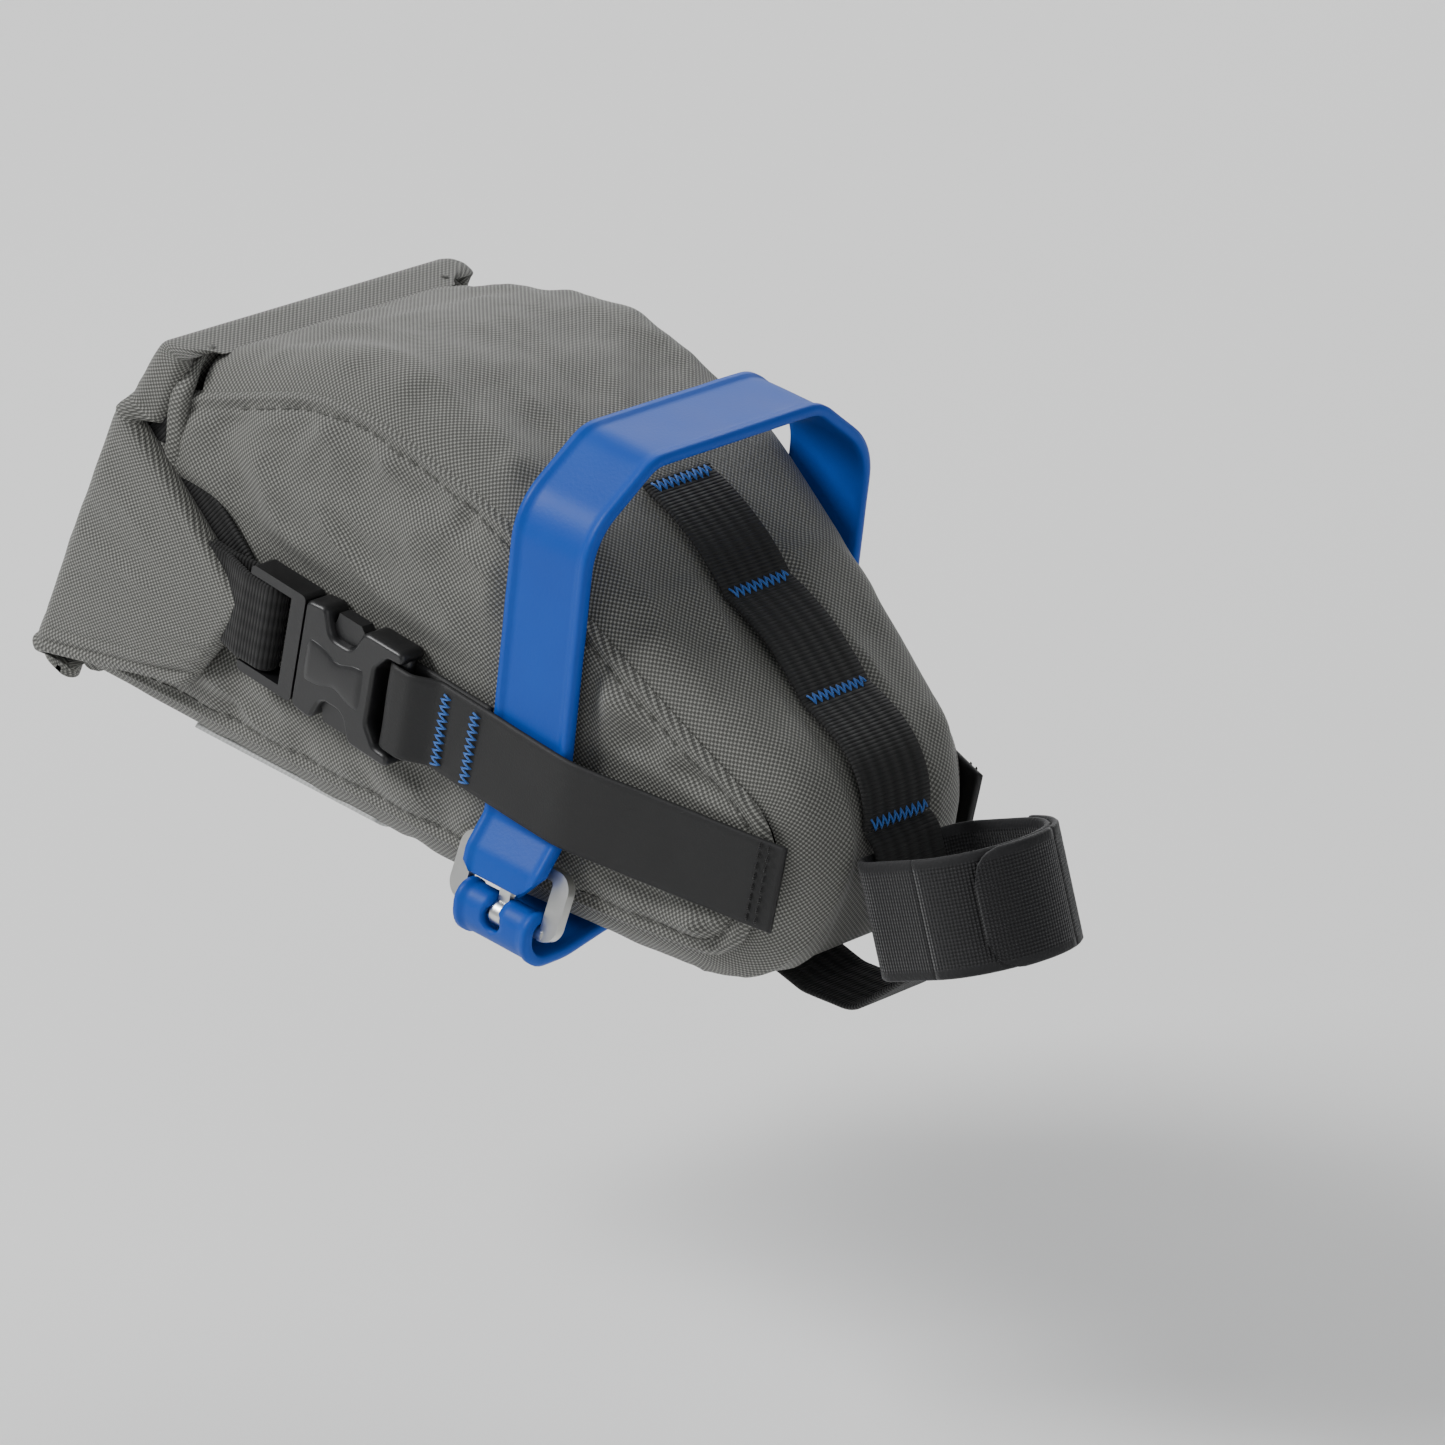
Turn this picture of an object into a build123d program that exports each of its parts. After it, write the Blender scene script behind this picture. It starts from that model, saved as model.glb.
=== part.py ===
"""Roll-top saddle bag: a padded wedge of fabric with a rolled and buckled mouth, hung from the saddle
rails by one moulded strap and from the seatpost by a hook-and-loop strap.

Row frame: +X to the front of the bicycle, +Y to its left, +Z up, origin on the seatpost's axis at the
middle of the seatpost strap. The bag is drawn in a frame of its own, where its floor is level, and is
turned nose down by bag_tilt at the end. The seatpost strap is drawn upright and turned by post_lean.
"""
from build123d import *
import os
from math import atan2, cos, degrees, hypot, radians, sin, sqrt

# ---------------------------------------------------------------- driving dimensions (mm, degrees)
bag_tilt = 8.0              # the floor of the bag falls to the front by this
post_lean = 17.0            # the seatpost leans back by this
clearance = 0.3             # between pieces that lie on each other

half_width = 41.0           # of the bag, behind the taper
taper_start = -125.0        # where the sides begin to close in
taper_radius = 376.0        # plan radius of the closing sides
wall = 1.2                  # padded fabric
edge_radius = 12.0          # where the gusset turns into the sides
seam_inset = 10.0           # from the outline to the side seam
floor_z = -27.0
mouth_bottom = (-223.0, floor_z)
mouth_top = (-195.0, 60.0)
lid_corners = [(-152.0, 76.5), (-103.0, 66.0), (-20.0, 15.0), (-33.0, floor_z)]
lid_radii = [70.0, 70.0, 24.0, 18.0]
floor_panel_front = -48.0   # where the floor gusset meets the front gusset
top_panel_front = -100.0    # where the top gusset meets the front gusset
bag_drop = 2.5              # of the bag's frame below the middle of the seatpost strap

roll_half_width = half_width + 3.0
roll_thickness = 8.5
roll_points = [(-213.0, 43.0), (-232.5, -21.0)]     # its outer face, from high to low
roll_stiffener_share = 0.6  # of the mouth's height
stiffener_thickness = 1.6
ear_thickness = 6.0
ear_points = [(-208.0, 42.0), (-168.0, 14.0), (-184.5, -10.5), (-228.5, -20.5)]
ear_radii = [2.0, 2.5, 4.0, 3.0]
tuck_size = (5.0, 3.4, 30.0)
reflective_x = (-188.0, -136.0)
reflective_y = (23.0, 29.0)
reflective_thickness = 0.8

webbing_width = 20.0
webbing_thickness = 1.4
closure_drop = 5.0          # the closure falls to the front by this, against the floor
mouth_x = -150.0            # the socket's mouth
mouth_z = 11.6
buckle_thickness = 7.0
buckle_gap = 0.5            # from the side of the bag to the buckle
socket_width = webbing_width + 7.0
socket_length = 21.0
socket_wall = 1.5
bar_radius = 1.6            # of both webbing bars
fork_length = 8.0
ladder_length = 17.0
ladder_width = webbing_width + 5.2
arm_length = 18.0
arm_width = 2.6
arm_offset = 8.3            # from the middle of the buckle to the middle of an arm
guide_width = 6.0
wing_end_x = -31.0          # where the wing strap is sewn into the front seam
wing_inner_end = -100.5     # where the folded end of the wing strap stops
wing_fold_x = -113.5        # where its two layers meet
ladder_wall = 0.6           # by which the ladder is thinner than the socket, on each face
ladder_front = 4.0          # of solid frame in front of the webbing
ladder_bar_back = 5.0       # from the ladder's rear end to its bar
window_start = 7.0          # of the socket's side windows
window_end = 15.8
window_depth = 4.2
arm_thickness = 3.2
shoulder_start = 8.2        # of an arm's locking shoulder
shoulder_end = 14.8
leg_width = 2.8             # of the socket's fork

strap_x = -88.0
strap_width = 21.5
strap_thickness = 2.3
rail_radius = 3.5
rail_half_spacing = 22.0
rail_z = 71.0               # of the rails' axes above the floor's frame, at the strap
frame_width = strap_width + 9.5
frame_thickness = 2.2
frame_bar_y = half_width + 4.3      # the buckle's lower bar
frame_bar_z = floor_z + 2.5
frame_top_y = half_width + 0.8      # the buckle's upper bar
frame_top_z = floor_z + 14.5
frame_bar_radius = 1.5
bar_gap = 0.25              # between the lower bar and the strap folded round it
frame_corner = 4.0
strap_hang = 3.0            # of the fold below the floor run
strap_bevel = 4.0           # of the free end's corners
prong_width = 3.0
prong_thickness = 1.5
prong_length = 15.2
prong_eye = 1.3             # wall of its eye round the lower bar
slot_gap = 0.9              # beside the prong in the strap's slot
split_z = 6.0               # where the strap's tail node begins, under the wing strap
tail_end_z = floor_z + 9.5

post_radius = 15.8
post_strap_width = 25.0
post_strap_thickness = 1.4
tail_layer = 1.6
tail_free_from = -47.0      # degrees round the post from the front
tail_hinge_at = 20.0
tail_ends_at = 86.0

daisy_width = 20.0
daisy_thickness = 1.2
daisy_slack = 1.5           # how far the strip stands off between its bar tacks
tack_spacing = 28.0
tack_length = 2.4
tack_height = 0.6
daisy_first = 107.0         # length along the outline of the first tack
daisy_tacks = 4
loop_reach = 1.5            # of the base loop above and below the seatpost strap
loop_end_x = -49.0          # where the base loop is sewn under the floor

# ---------------------------------------------------------------- helpers
bag_turn = Pos(0, 0, -bag_drop) * Rot(0, bag_tilt, 0)
post_turn = Rot(0, -post_lean, 0)
far = 400.0


def write(name, shape):
    """Writes one node."""
    export_step(shape, f"parts/{name}.step")


def write_pair(name, shape):
    """Writes a right-hand piece drawn in the bag's frame, and its mirror image for the left."""
    write(f"{name}_right", bag_turn * shape)
    write(f"{name}_left", bag_turn * mirror(shape, about=Plane.XZ))


def span(x0, x1, y0, y1, z0, z1):
    """A box from its lowest corner to its highest."""
    return Pos((x0 + x1) / 2, (y0 + y1) / 2, (z0 + z1) / 2) * Box(x1 - x0, y1 - y0, z1 - z0)


def across(face, half):
    """A side view, extruded over the whole width of 2 * half."""
    return extrude(Plane.XZ.offset(-half) * face, amount=2 * half)


def side_y(x, grow=0.0):
    """Half width of the bag at x, or of what lies on its side."""
    if x <= taper_start:
        return half_width + grow
    return sqrt((taper_radius + grow) ** 2 - (x - taper_start) ** 2) - taper_radius + half_width


# ---------------------------------------------------------------- the bag
def outline():
    """The bag from the side: the line over its top and nose, and the closed face."""
    lid = FilletPolyline(mouth_top, *lid_corners, mouth_bottom, radius=lid_radii)
    return lid, make_face(lid + Line(mouth_bottom, mouth_top))


def plan_solid(grow):
    """The bag's plan, as a tall solid: parallel sides that close in towards the nose."""
    back = span(-far, taper_start, -half_width - grow, half_width + grow, -far / 2, far / 2)
    disc = Cylinder(taper_radius + grow, far)
    centre = taper_radius - half_width
    nose = (Pos(taper_start, centre) * disc) & (Pos(taper_start, -centre) * disc)
    return back + (nose & span(taper_start, far, -far, far, -far, far))


def runs_along_the_bag(edge):
    """True for the edges between a side and the top, the nose or the floor."""
    box = edge.bounding_box()
    return abs(edge.center().Y) > 8 and box.size.X > 4 and box.max.X > mouth_top[0] + 1


def body_solid(inset):
    """The bag as one solid, smaller by inset all round."""
    face = outline()[1]
    if inset:
        face = offset(face, amount=-inset, kind=Kind.INTERSECTION)
    solid = across(face, far / 4) & plan_solid(-inset)
    return fillet(solid.edges().filter_by(runs_along_the_bag), edge_radius - inset)


def mouth_slab():
    """Everything within one wall of the flat mouth."""
    run = mouth_top[0] - mouth_bottom[0]
    rise = mouth_top[1] - mouth_bottom[1]
    angle = degrees(atan2(rise, run))
    return Pos(mouth_bottom[0], 0, mouth_bottom[1]) * Rot(0, -angle, 0) * (
        Pos(hypot(run, rise) / 2, 0, -wall / 2) * Box(2 * far, far, wall)
    )


def bag_panels():
    """The sewn panels: two sides, the gusset in three lengths, and the panel behind the roll."""
    shell = body_solid(0) - body_solid(wall)
    rear = shell & mouth_slab()
    shell = shell - mouth_slab()
    seam = offset(outline()[1], amount=-seam_inset, kind=Kind.INTERSECTION)
    to_the_mouth = span(-far, mouth_top[0], -far, far, floor_z + seam_inset, mouth_top[1] - seam_inset)
    sides = shell & (across(seam, far / 4) + to_the_mouth)
    sides = sides & (span(-far, far, -far, -12, -far, far) + span(-far, far, 12, far, -far, far))
    gusset = shell - sides
    top = gusset & span(-far, top_panel_front, -far, far, edge_radius, far)
    floor = gusset & span(-far, floor_panel_front, -far, far, -far, edge_radius)
    front = gusset - top - floor
    return sides, rear, top, front, floor


def base_stiffener():
    """A plate on the floor inside, clear of the rounded edges."""
    inside = half_width - edge_radius
    nose = side_y(floor_panel_front) - edge_radius
    back = mouth_bottom[0] + 3 * wall + 2
    plan = Polyline(
        (back, -inside), (taper_start, -inside), (floor_panel_front, -nose),
        (floor_panel_front, nose), (taper_start, inside), (back, inside), close=True,
    )
    return extrude(Plane.XY.offset(floor_z + wall) * make_face(plan), amount=stiffener_thickness)


# ---------------------------------------------------------------- the rolled mouth
def roll_face():
    """Section of the flattened roll, from the ridge at the top to the lowest tip."""
    return make_face(FilletPolyline(
        mouth_top, (mouth_top[0] - roll_thickness, mouth_top[1] + 1.5), *roll_points,
        (-229.5, floor_z + 1.5), mouth_bottom, radius=[0, 3.0, 40.0, 2.0, 1.5, 0], close=True,
    ))


def roll_stiffener():
    """A plastic strip in the middle of the roll, parallel to the mouth."""
    run = mouth_top[0] - mouth_bottom[0]
    rise = mouth_top[1] - mouth_bottom[1]
    angle = degrees(atan2(rise, run))
    length = hypot(run, rise) * roll_stiffener_share
    return Pos(mouth_bottom[0], 0, mouth_bottom[1]) * Rot(0, -angle, 0) * (
        Pos(hypot(run, rise) * 0.45, 0, roll_thickness / 2)
        * Box(length, 2 * roll_half_width - 8, stiffener_thickness)
    )


def ear():
    """The end of the roll, folded forward on to the side; the webbing comes out of its tip."""
    plate = extrude(
        Plane.XZ.offset(half_width + clearance) * make_face(FilletPolyline(
            *ear_points, radius=ear_radii, close=True)),
        amount=ear_thickness,
    )
    return plate - webbing_envelope() - extrude(
        Plane.XZ.offset(half_width) * roll_face(), amount=roll_half_width - half_width)


def tuck_fold():
    """The gusset folded in at the top corner of the mouth, standing on the side panel."""
    length, depth, height = tuck_size
    top = mouth_top[1] - 2
    front = mouth_top[0] + length - 1
    return span(front - length, front, -half_width - clearance - depth, -half_width - clearance,
                top - height, top) - ear_space()


def ear_space():
    """Room for the ear and the roll beside the tucked fold."""
    ear_block = extrude(
        Plane.XZ.offset(half_width - 1) * offset(make_face(Polyline(*ear_points, close=True)), 0.5),
        amount=ear_thickness + 2,
    )
    return ear_block + across(roll_face(), roll_half_width)


# ---------------------------------------------------------------- the side closures
def closure_plane():
    """Drawn from above the side: u to the front along the closure, v up, w away from the bag."""
    slope = radians(closure_drop)
    return Plane(
        origin=(mouth_x, -half_width - buckle_gap, mouth_z),
        x_dir=(cos(slope), 0, -sin(slope)), z_dir=(0, -1, 0),
    )


closure = closure_plane()
closure_top = Plane(closure.origin, x_dir=closure.x_dir, z_dir=closure.y_dir * -1)
bar_w = buckle_thickness / 2
ladder_bar_u = -ladder_length + ladder_bar_back
socket_bar_u = socket_length + fork_length - bar_radius


def slab(u0, u1, v0, v1, w0, w1):
    """A box in the closure's frame."""
    return closure.location * span(u0, u1, v0, v1, w0, w1)


def bar(u, width):
    """A round bar across the closure."""
    return closure.location * (Pos(u, 0, bar_w) * Rot(90, 0, 0) * Cylinder(bar_radius, width))


def band(points, radii, thickness=webbing_thickness, width=webbing_width):
    """A strap in the closure's frame, given by (u, w) points of its middle line."""
    line = FilletPolyline(*points, radius=radii)
    face = trace(line, line_width=thickness)
    return extrude(closure_top.offset(-width / 2) * face, amount=width)


def round_bar(u, turn, ahead):
    """The four corners and radii that take a strap round a bar, from the bag's side outwards."""
    reach = bar_radius + 0.2 + webbing_thickness / 2
    end = u + turn * reach
    return [(u - turn * ahead, bar_w - reach), (end, bar_w - reach), (end, bar_w + reach),
            (u - turn * ahead, bar_w + reach)], [4.0, reach - 0.01, reach - 0.01, 4.0]


def webbing():
    """Two layers out of the ear, round the ladder's bar."""
    corners, radii = round_bar(ladder_bar_u, 1, 6.0)
    middle = bar_w - 0.4
    layer = webbing_thickness / 2 + 0.05
    inner = [(ladder_bar_u - 26, middle - layer), (ladder_bar_u - 14, middle - layer)]
    outer = [(ladder_bar_u - 14, middle + layer), (ladder_bar_u - 26, middle + layer)]
    return band(inner + corners + outer, [4.0] + radii + [4.0])


def webbing_envelope():
    """Room inside the ear for both layers of the webbing."""
    middle = bar_w - 0.4
    grow = webbing_thickness + 0.05
    half = webbing_width / 2
    return slab(ladder_bar_u - 26, ladder_bar_u + 20, -half, half, middle - grow - 1.6, middle + grow + 1.6)


def ladder():
    """The half with the arms: a frame round the webbing's bar, and a guide that enters the socket."""
    half = ladder_width / 2
    frame = slab(-ladder_length, -ladder_wall, -half, half, ladder_wall, buckle_thickness - ladder_wall)
    frame = fillet(frame.edges().filter_by(Axis.Y), 1.2)
    window = webbing_width / 2 + 0.4
    frame -= slab(-ladder_length - 1, -ladder_wall - ladder_front, -window, window, -1, buckle_thickness + 1)
    guide = slab(-ladder_wall, arm_length - 5, -guide_width / 2, guide_width / 2, 2.0, buckle_thickness - 2.0)
    return frame + guide + bar(ladder_bar_u, 2 * window + 1)


def arm(side):
    """A sprung arm that enters the socket; its shoulder fills the socket's window."""
    root = arm_offset - arm_width / 2
    tip = arm_offset + arm_width / 2
    lock = socket_width / 2 - 0.6
    face = make_face(Polyline(
        (-clearance, root), (arm_length, root), (arm_length + 1.0, tip - 1.0), (shoulder_end, lock),
        (shoulder_start, lock), (shoulder_start - 0.6, tip + 0.6), (-clearance, tip), close=True,
    ))
    drawn = extrude(Plane.XY.offset((buckle_thickness - arm_thickness) / 2) * face, amount=arm_thickness)
    return closure.location * (drawn if side > 0 else mirror(drawn, about=Plane.XZ))


def socket():
    """The half on the wing strap: a flat sleeve with a window on each edge, and a fork with a bar."""
    half = socket_width / 2
    body = slab(0, socket_length, -half, half, 0, buckle_thickness)
    body = fillet(body.edges().filter_by(Axis.Y), 1.6)
    inside = half - socket_wall
    body -= slab(-1, socket_length - 1.5, -inside, inside, socket_wall, buckle_thickness - socket_wall)
    for side in (1, -1):
        low, high = sorted((side * (half - window_depth), side * (half + 1)))
        body -= slab(window_start, window_end, low, high, -1, buckle_thickness + 1)
        low, high = sorted((side * 3.6, side * (half - 5.6)))
        body -= slab(1.8, 6.2, low, high, -1, buckle_thickness / 2)
    for side in (1, -1):
        low, high = sorted((side * (half - leg_width), side * half))
        body += slab(socket_length - 0.5, socket_length + fork_length, low, high, 0.9, buckle_thickness - 0.9)
    return body + bar(socket_bar_u, socket_width - 2)


def closure_u(x):
    """Place along the closure of a point of the bag at x."""
    return (x - mouth_x) / cos(radians(closure_drop))


def strap_outside():
    """How far the outer face of the rail strap stands from the middle of the bag."""
    return side_y(strap_x - strap_width / 2) + clearance + strap_thickness


wing_flat = strap_outside() + clearance + 0.15 + webbing_thickness / 2 - half_width - buckle_gap


def wing():
    """The wing strap: folded round the socket's bar, over the rail strap, and into the front seam."""
    half = webbing_thickness / 2
    corners, radii = round_bar(socket_bar_u, -1, 4.0)
    under = wing_flat - webbing_thickness - 0.05
    front = strap_x + strap_width / 2 + 1.0
    inner = [(closure_u(wing_inner_end), under), (socket_bar_u + 9, under)]
    outer = [(closure_u(wing_fold_x), wing_flat), (closure_u(front), wing_flat),
             (closure_u(wing_end_x), side_y(wing_end_x, clearance + half) - half_width - buckle_gap)]
    return band(inner + corners + outer, [6.0] + radii[:3] + [3.0, 4.0, 20.0])


def wing_tacks():
    """Two rows of zigzag stitches that close the fold of the wing strap."""
    base = wing_flat + webbing_thickness / 2
    reach = webbing_width / 2 - 1.5
    rows = [slab(closure_u(x) - tack_length / 2, closure_u(x) + tack_length / 2, -reach, reach,
                 base, base + tack_height) for x in (wing_fold_x + 2.5, wing_inner_end - 2.0)]
    return rows[0] + rows[1]


# ---------------------------------------------------------------- the rail strap and its buckle
cross = Plane(origin=(strap_x, 0, 0), x_dir=(0, 1, 0), z_dir=(1, 0, 0))
fold_reach = frame_bar_radius + bar_gap + strap_thickness / 2


def cross_strap(points, radii):
    """A length of the rail strap, drawn across the bag."""
    face = trace(FilletPolyline(*points, radius=radii), line_width=strap_thickness)
    return extrude(cross.offset(-strap_width / 2) * face, amount=strap_width)


def rail_strap():
    """From its fold round the buckle's bar, under the bag, up the left and over both rails."""
    beside = side_y(strap_x - strap_width / 2) + clearance + strap_thickness / 2
    over_z = rail_z + rail_radius + strap_thickness / 2 + 0.2
    over_y = rail_half_spacing + 2.6
    under = floor_z - clearance - strap_thickness / 2
    hang = under - strap_hang
    leave_z = rail_z - 8.0
    top_fold = frame_bar_z + fold_reach
    return cross_strap(
        [(-frame_bar_y + fold_reach, frame_bar_z - 3.0), (-frame_bar_y + fold_reach, top_fold),
         (-frame_bar_y - fold_reach, top_fold), (-frame_bar_y - fold_reach, hang), (-36.0, hang),
         (-24.0, under), (beside, under), (beside, leave_z), (over_y, over_z), (-over_y, over_z),
         (-beside, leave_z), (-beside, split_z)],
        [fold_reach - 0.01, fold_reach - 0.01, 5.5, 20.0, 20.0, edge_radius + 2, 14.0, 5.0, 5.0, 14.0],
    ) - prong_slot()


def prong_slot():
    """The slot in the fold that the prong works in."""
    half = prong_width / 2 + slot_gap
    reach = fold_reach + strap_thickness
    return span(strap_x - half, strap_x + half, -frame_bar_y - reach, -frame_bar_y + reach,
                frame_bar_z - 3.2, frame_bar_z + reach + 2)


def rail_strap_tail():
    """The free end: down the right side, over the buckle's upper bar and the prong."""
    beside = side_y(strap_x - strap_width / 2) + clearance + strap_thickness / 2
    lean = frame_top_y + frame_thickness / 2 + prong_thickness + 2 * clearance + strap_thickness / 2
    tail = cross_strap(
        [(-beside, split_z), (-beside, -6.0), (-lean, frame_top_z), (-lean - 0.8, tail_end_z)],
        [4.0, 4.0],
    )
    corner = strap_width / 2
    for side in (1, -1):
        cut = make_face(Polyline((strap_x + side * corner, tail_end_z - 1), (strap_x + side * corner,
                        tail_end_z + strap_bevel + 1),
                                  (strap_x + side * (corner - strap_bevel), tail_end_z - 1), close=True))
        tail -= extrude(Plane.XZ.offset(half_width - 1) * cut, amount=12)
    return tail - prong_tongue(clearance)


def frame_plane():
    """The strap buckle's plane: v from the lower bar to the upper one."""
    return Plane(
        origin=(strap_x, -(frame_bar_y + frame_top_y) / 2, (frame_bar_z + frame_top_z) / 2),
        x_dir=(1, 0, 0), z_dir=(0, -(frame_top_z - frame_bar_z), frame_bar_y - frame_top_y),
    )


def buckle_frame():
    """A flat rounded frame; its lower bar is round."""
    height = hypot(frame_bar_y - frame_top_y, frame_top_z - frame_bar_z)
    leg = (frame_width - strap_width - 2 * bar_gap) / 2
    ring = RectangleRounded(frame_width, height + frame_thickness + 0.6, frame_corner)
    ring -= Pos(0, -0.6) * RectangleRounded(frame_width - 2 * leg, height - frame_thickness + 1.2, 1.0)
    frame = extrude(frame_plane() * ring, amount=frame_thickness / 2, both=True)
    lowest = span(-far, far, -far, far, -far, frame_bar_z + frame_thickness * 0.9)
    inner = span(strap_x - strap_width / 2 - bar_gap, strap_x + strap_width / 2 + bar_gap,
                 -far, far, -far, far)
    frame -= lowest & inner
    axle = Pos(strap_x, -frame_bar_y, frame_bar_z) * Rot(0, 90, 0) * Cylinder(
        frame_bar_radius, strap_width + 2 * bar_gap + 2)
    return frame + axle


def prong_tongue(grow):
    """The straight part of the prong, from the lower bar to past the upper one."""
    tip_y = frame_top_y + frame_thickness / 2 + prong_thickness / 2 + clearance
    rise = frame_top_z - frame_bar_z
    angle = degrees(atan2(frame_bar_y - tip_y, rise))
    return Pos(strap_x, -frame_bar_y, frame_bar_z) * Rot(-angle, 0, 0) * span(
        -prong_width / 2 - grow, prong_width / 2 + grow, -prong_thickness / 2 - grow,
        prong_thickness / 2 + grow, frame_bar_radius + 0.5, prong_length + grow)


def prong():
    """A tongue with an eye round the frame's lower bar."""
    place = Pos(strap_x, -frame_bar_y, frame_bar_z) * Rot(0, 90, 0)
    eye = place * Cylinder(frame_bar_radius + prong_eye, prong_width)
    whole = eye + prong_tongue(0)
    return whole - place * Cylinder(frame_bar_radius + 0.15, prong_width + 2)


# ---------------------------------------------------------------- the seatpost strap
def to_bag(x, z):
    """A point of the seatpost's frame, in the frame of the bag."""
    lean = radians(post_lean + bag_tilt)
    tilt = radians(bag_tilt)
    return (x * cos(lean) - z * sin(lean) - bag_drop * sin(tilt),
            x * sin(lean) + z * cos(lean) + bag_drop * cos(tilt))


back_x = -post_radius - daisy_thickness - 2 * clearance - post_strap_thickness / 2


def post_strap():
    """Round the front of the seatpost, and straight across behind the loop on the bag."""
    mid = post_radius + post_strap_thickness / 2
    front = CenterArc((0, 0), mid, -90, 180)
    rest = FilletPolyline((0, mid), (back_x, mid), (back_x, -mid), (0, -mid), radius=6.0)
    face = trace(front + rest, line_width=post_strap_thickness)
    return post_turn * extrude(Plane.XY.offset(-post_strap_width / 2) * face, amount=post_strap_width)


def tail_arc(start, end):
    """The outer layer of the seatpost strap, between two angles."""
    inner = post_radius + post_strap_thickness + 0.1
    ring = Cylinder(inner + tail_layer, post_strap_width) - Cylinder(inner, post_strap_width + 2)
    wedge = make_face(Polyline(
        (0, 0), *[(60 * cos(radians(a)), 60 * sin(radians(a)))
                  for a in (start, start + (end - start) / 2, end)], close=True))
    return ring & extrude(Plane.XY.offset(-post_strap_width) * wedge, amount=2 * post_strap_width)


def daisy_line(start, end):
    """Middle line of the strip on the nose between two lengths along the outline."""
    lid = outline()[0]
    points = []
    count = round((end - start) / tack_spacing * 2)
    for i in range(count + 1):
        at = (start + (end - start) * i / count) / lid.length
        place = lid.position_at(at)
        along = lid.tangent_at(at)
        out = clearance + daisy_thickness / 2 + (daisy_slack if i % 2 else 0)
        points.append((place.X - along.Y * out, place.Y + along.X * out))
    return points


daisy_last = daisy_first + (daisy_tacks - 1) * tack_spacing


def daisy_strip():
    """The strip down the nose, slack between its bar tacks."""
    line = Spline(*daisy_line(daisy_first, daisy_last))
    face = trace(line, line_width=daisy_thickness)
    return extrude(Plane.XZ.offset(-daisy_width / 2) * face, amount=daisy_width)


def daisy_bar_tacks():
    """A row of stitches across the strip at each tack."""
    points = daisy_line(daisy_first, daisy_last)
    tacks = Part()
    for i in range(0, len(points), 2):
        x, z = points[i]
        ahead = points[min(i + 1, len(points) - 1)]
        behind = points[max(i - 1, 0)]
        angle = atan2(ahead[1] - behind[1], ahead[0] - behind[0])
        lift = (daisy_thickness + tack_height) / 2 + 2 * clearance
        tacks += Pos(x - sin(angle) * lift, 0, z + cos(angle) * lift) * Rot(0, -degrees(angle), 0) * Box(
            tack_length, daisy_width - 3, tack_height)
    return tacks


def base_loop():
    """The last loop of the strip: round the back of the seatpost strap and under the nose."""
    last = daisy_line(daisy_first, daisy_last)[-1]
    gap_x = -post_radius - daisy_thickness / 2 - clearance
    reach = post_strap_width / 2 + loop_reach
    top = to_bag(gap_x, reach)
    bottom = to_bag(gap_x, -reach)
    points = [(last[0] + 0.6, last[1] - 1.6), top, bottom, (-22.0, -29.5),
              (-36.0, floor_z - 3.6), (loop_end_x, floor_z - clearance - daisy_thickness / 2)]
    face = trace(FilletPolyline(*points, radius=[1.5, 3.0, 9.0, 8.0]), line_width=daisy_thickness)
    return extrude(Plane.XZ.offset(-daisy_width / 2) * face, amount=daisy_width)


# ---------------------------------------------------------------- writing
def write_bag():
    sides, rear, top, front, floor = bag_panels()
    write("side_panel_right", bag_turn * (sides & span(-far, far, -far, 0, -far, far)))
    write("side_panel_left", bag_turn * (sides & span(-far, far, 0, far, -far, far)))
    write("rear_panel", bag_turn * rear)
    write("top_gusset", bag_turn * top)
    write("front_gusset", bag_turn * front)
    write("floor_gusset", bag_turn * floor)
    write("base_stiffener", bag_turn * base_stiffener())
    write("roll_stiffener", bag_turn * roll_stiffener())
    write("roll_band", bag_turn * (across(roll_face(), roll_half_width) - roll_stiffener()))
    write_pair("ear", ear())
    write_pair("tuck_fold", tuck_fold())
    write_pair("reflective_strip", span(*reflective_x, -reflective_y[1], -reflective_y[0],
                                        floor_z - reflective_thickness - 0.1, floor_z - 0.1))


def write_closures():
    write_pair("webbing", webbing())
    write_pair("buckle_ladder", ladder())
    write_pair("latch_arm_upper", arm(1))
    write_pair("latch_arm_lower", arm(-1))
    write_pair("buckle_socket", socket())
    write_pair("wing_strap", wing())
    write_pair("wing_bar_tacks", wing_tacks())


def write_straps():
    write("rail_strap", bag_turn * rail_strap())
    write("rail_strap_tail", bag_turn * rail_strap_tail())
    write("strap_buckle_frame", bag_turn * buckle_frame())
    write("strap_buckle_prong", bag_turn * prong())
    write("post_strap", post_strap())
    write("post_strap_overlap", post_turn * tail_arc(tail_hinge_at, tail_ends_at))
    write("post_strap_tail", post_turn * tail_arc(tail_free_from, tail_hinge_at))
    write("daisy_strip", bag_turn * daisy_strip())
    write("daisy_bar_tacks", bag_turn * daisy_bar_tacks())
    write("base_loop", bag_turn * base_loop())


os.makedirs("parts", exist_ok=True)
write_bag()
write_closures()
write_straps()
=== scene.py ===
"""Looks of the roll-top saddle bag. Shapes are drawn in millimetres in the bag's own frame, where its floor
is level, or in the seatpost's frame, and are turned into the row's frame in metres."""
from math import atan2, ceil, cos, degrees, pi, radians, sin, sqrt, tan

import bmesh
import bpy
import numpy as np
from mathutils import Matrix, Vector, noise


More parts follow.
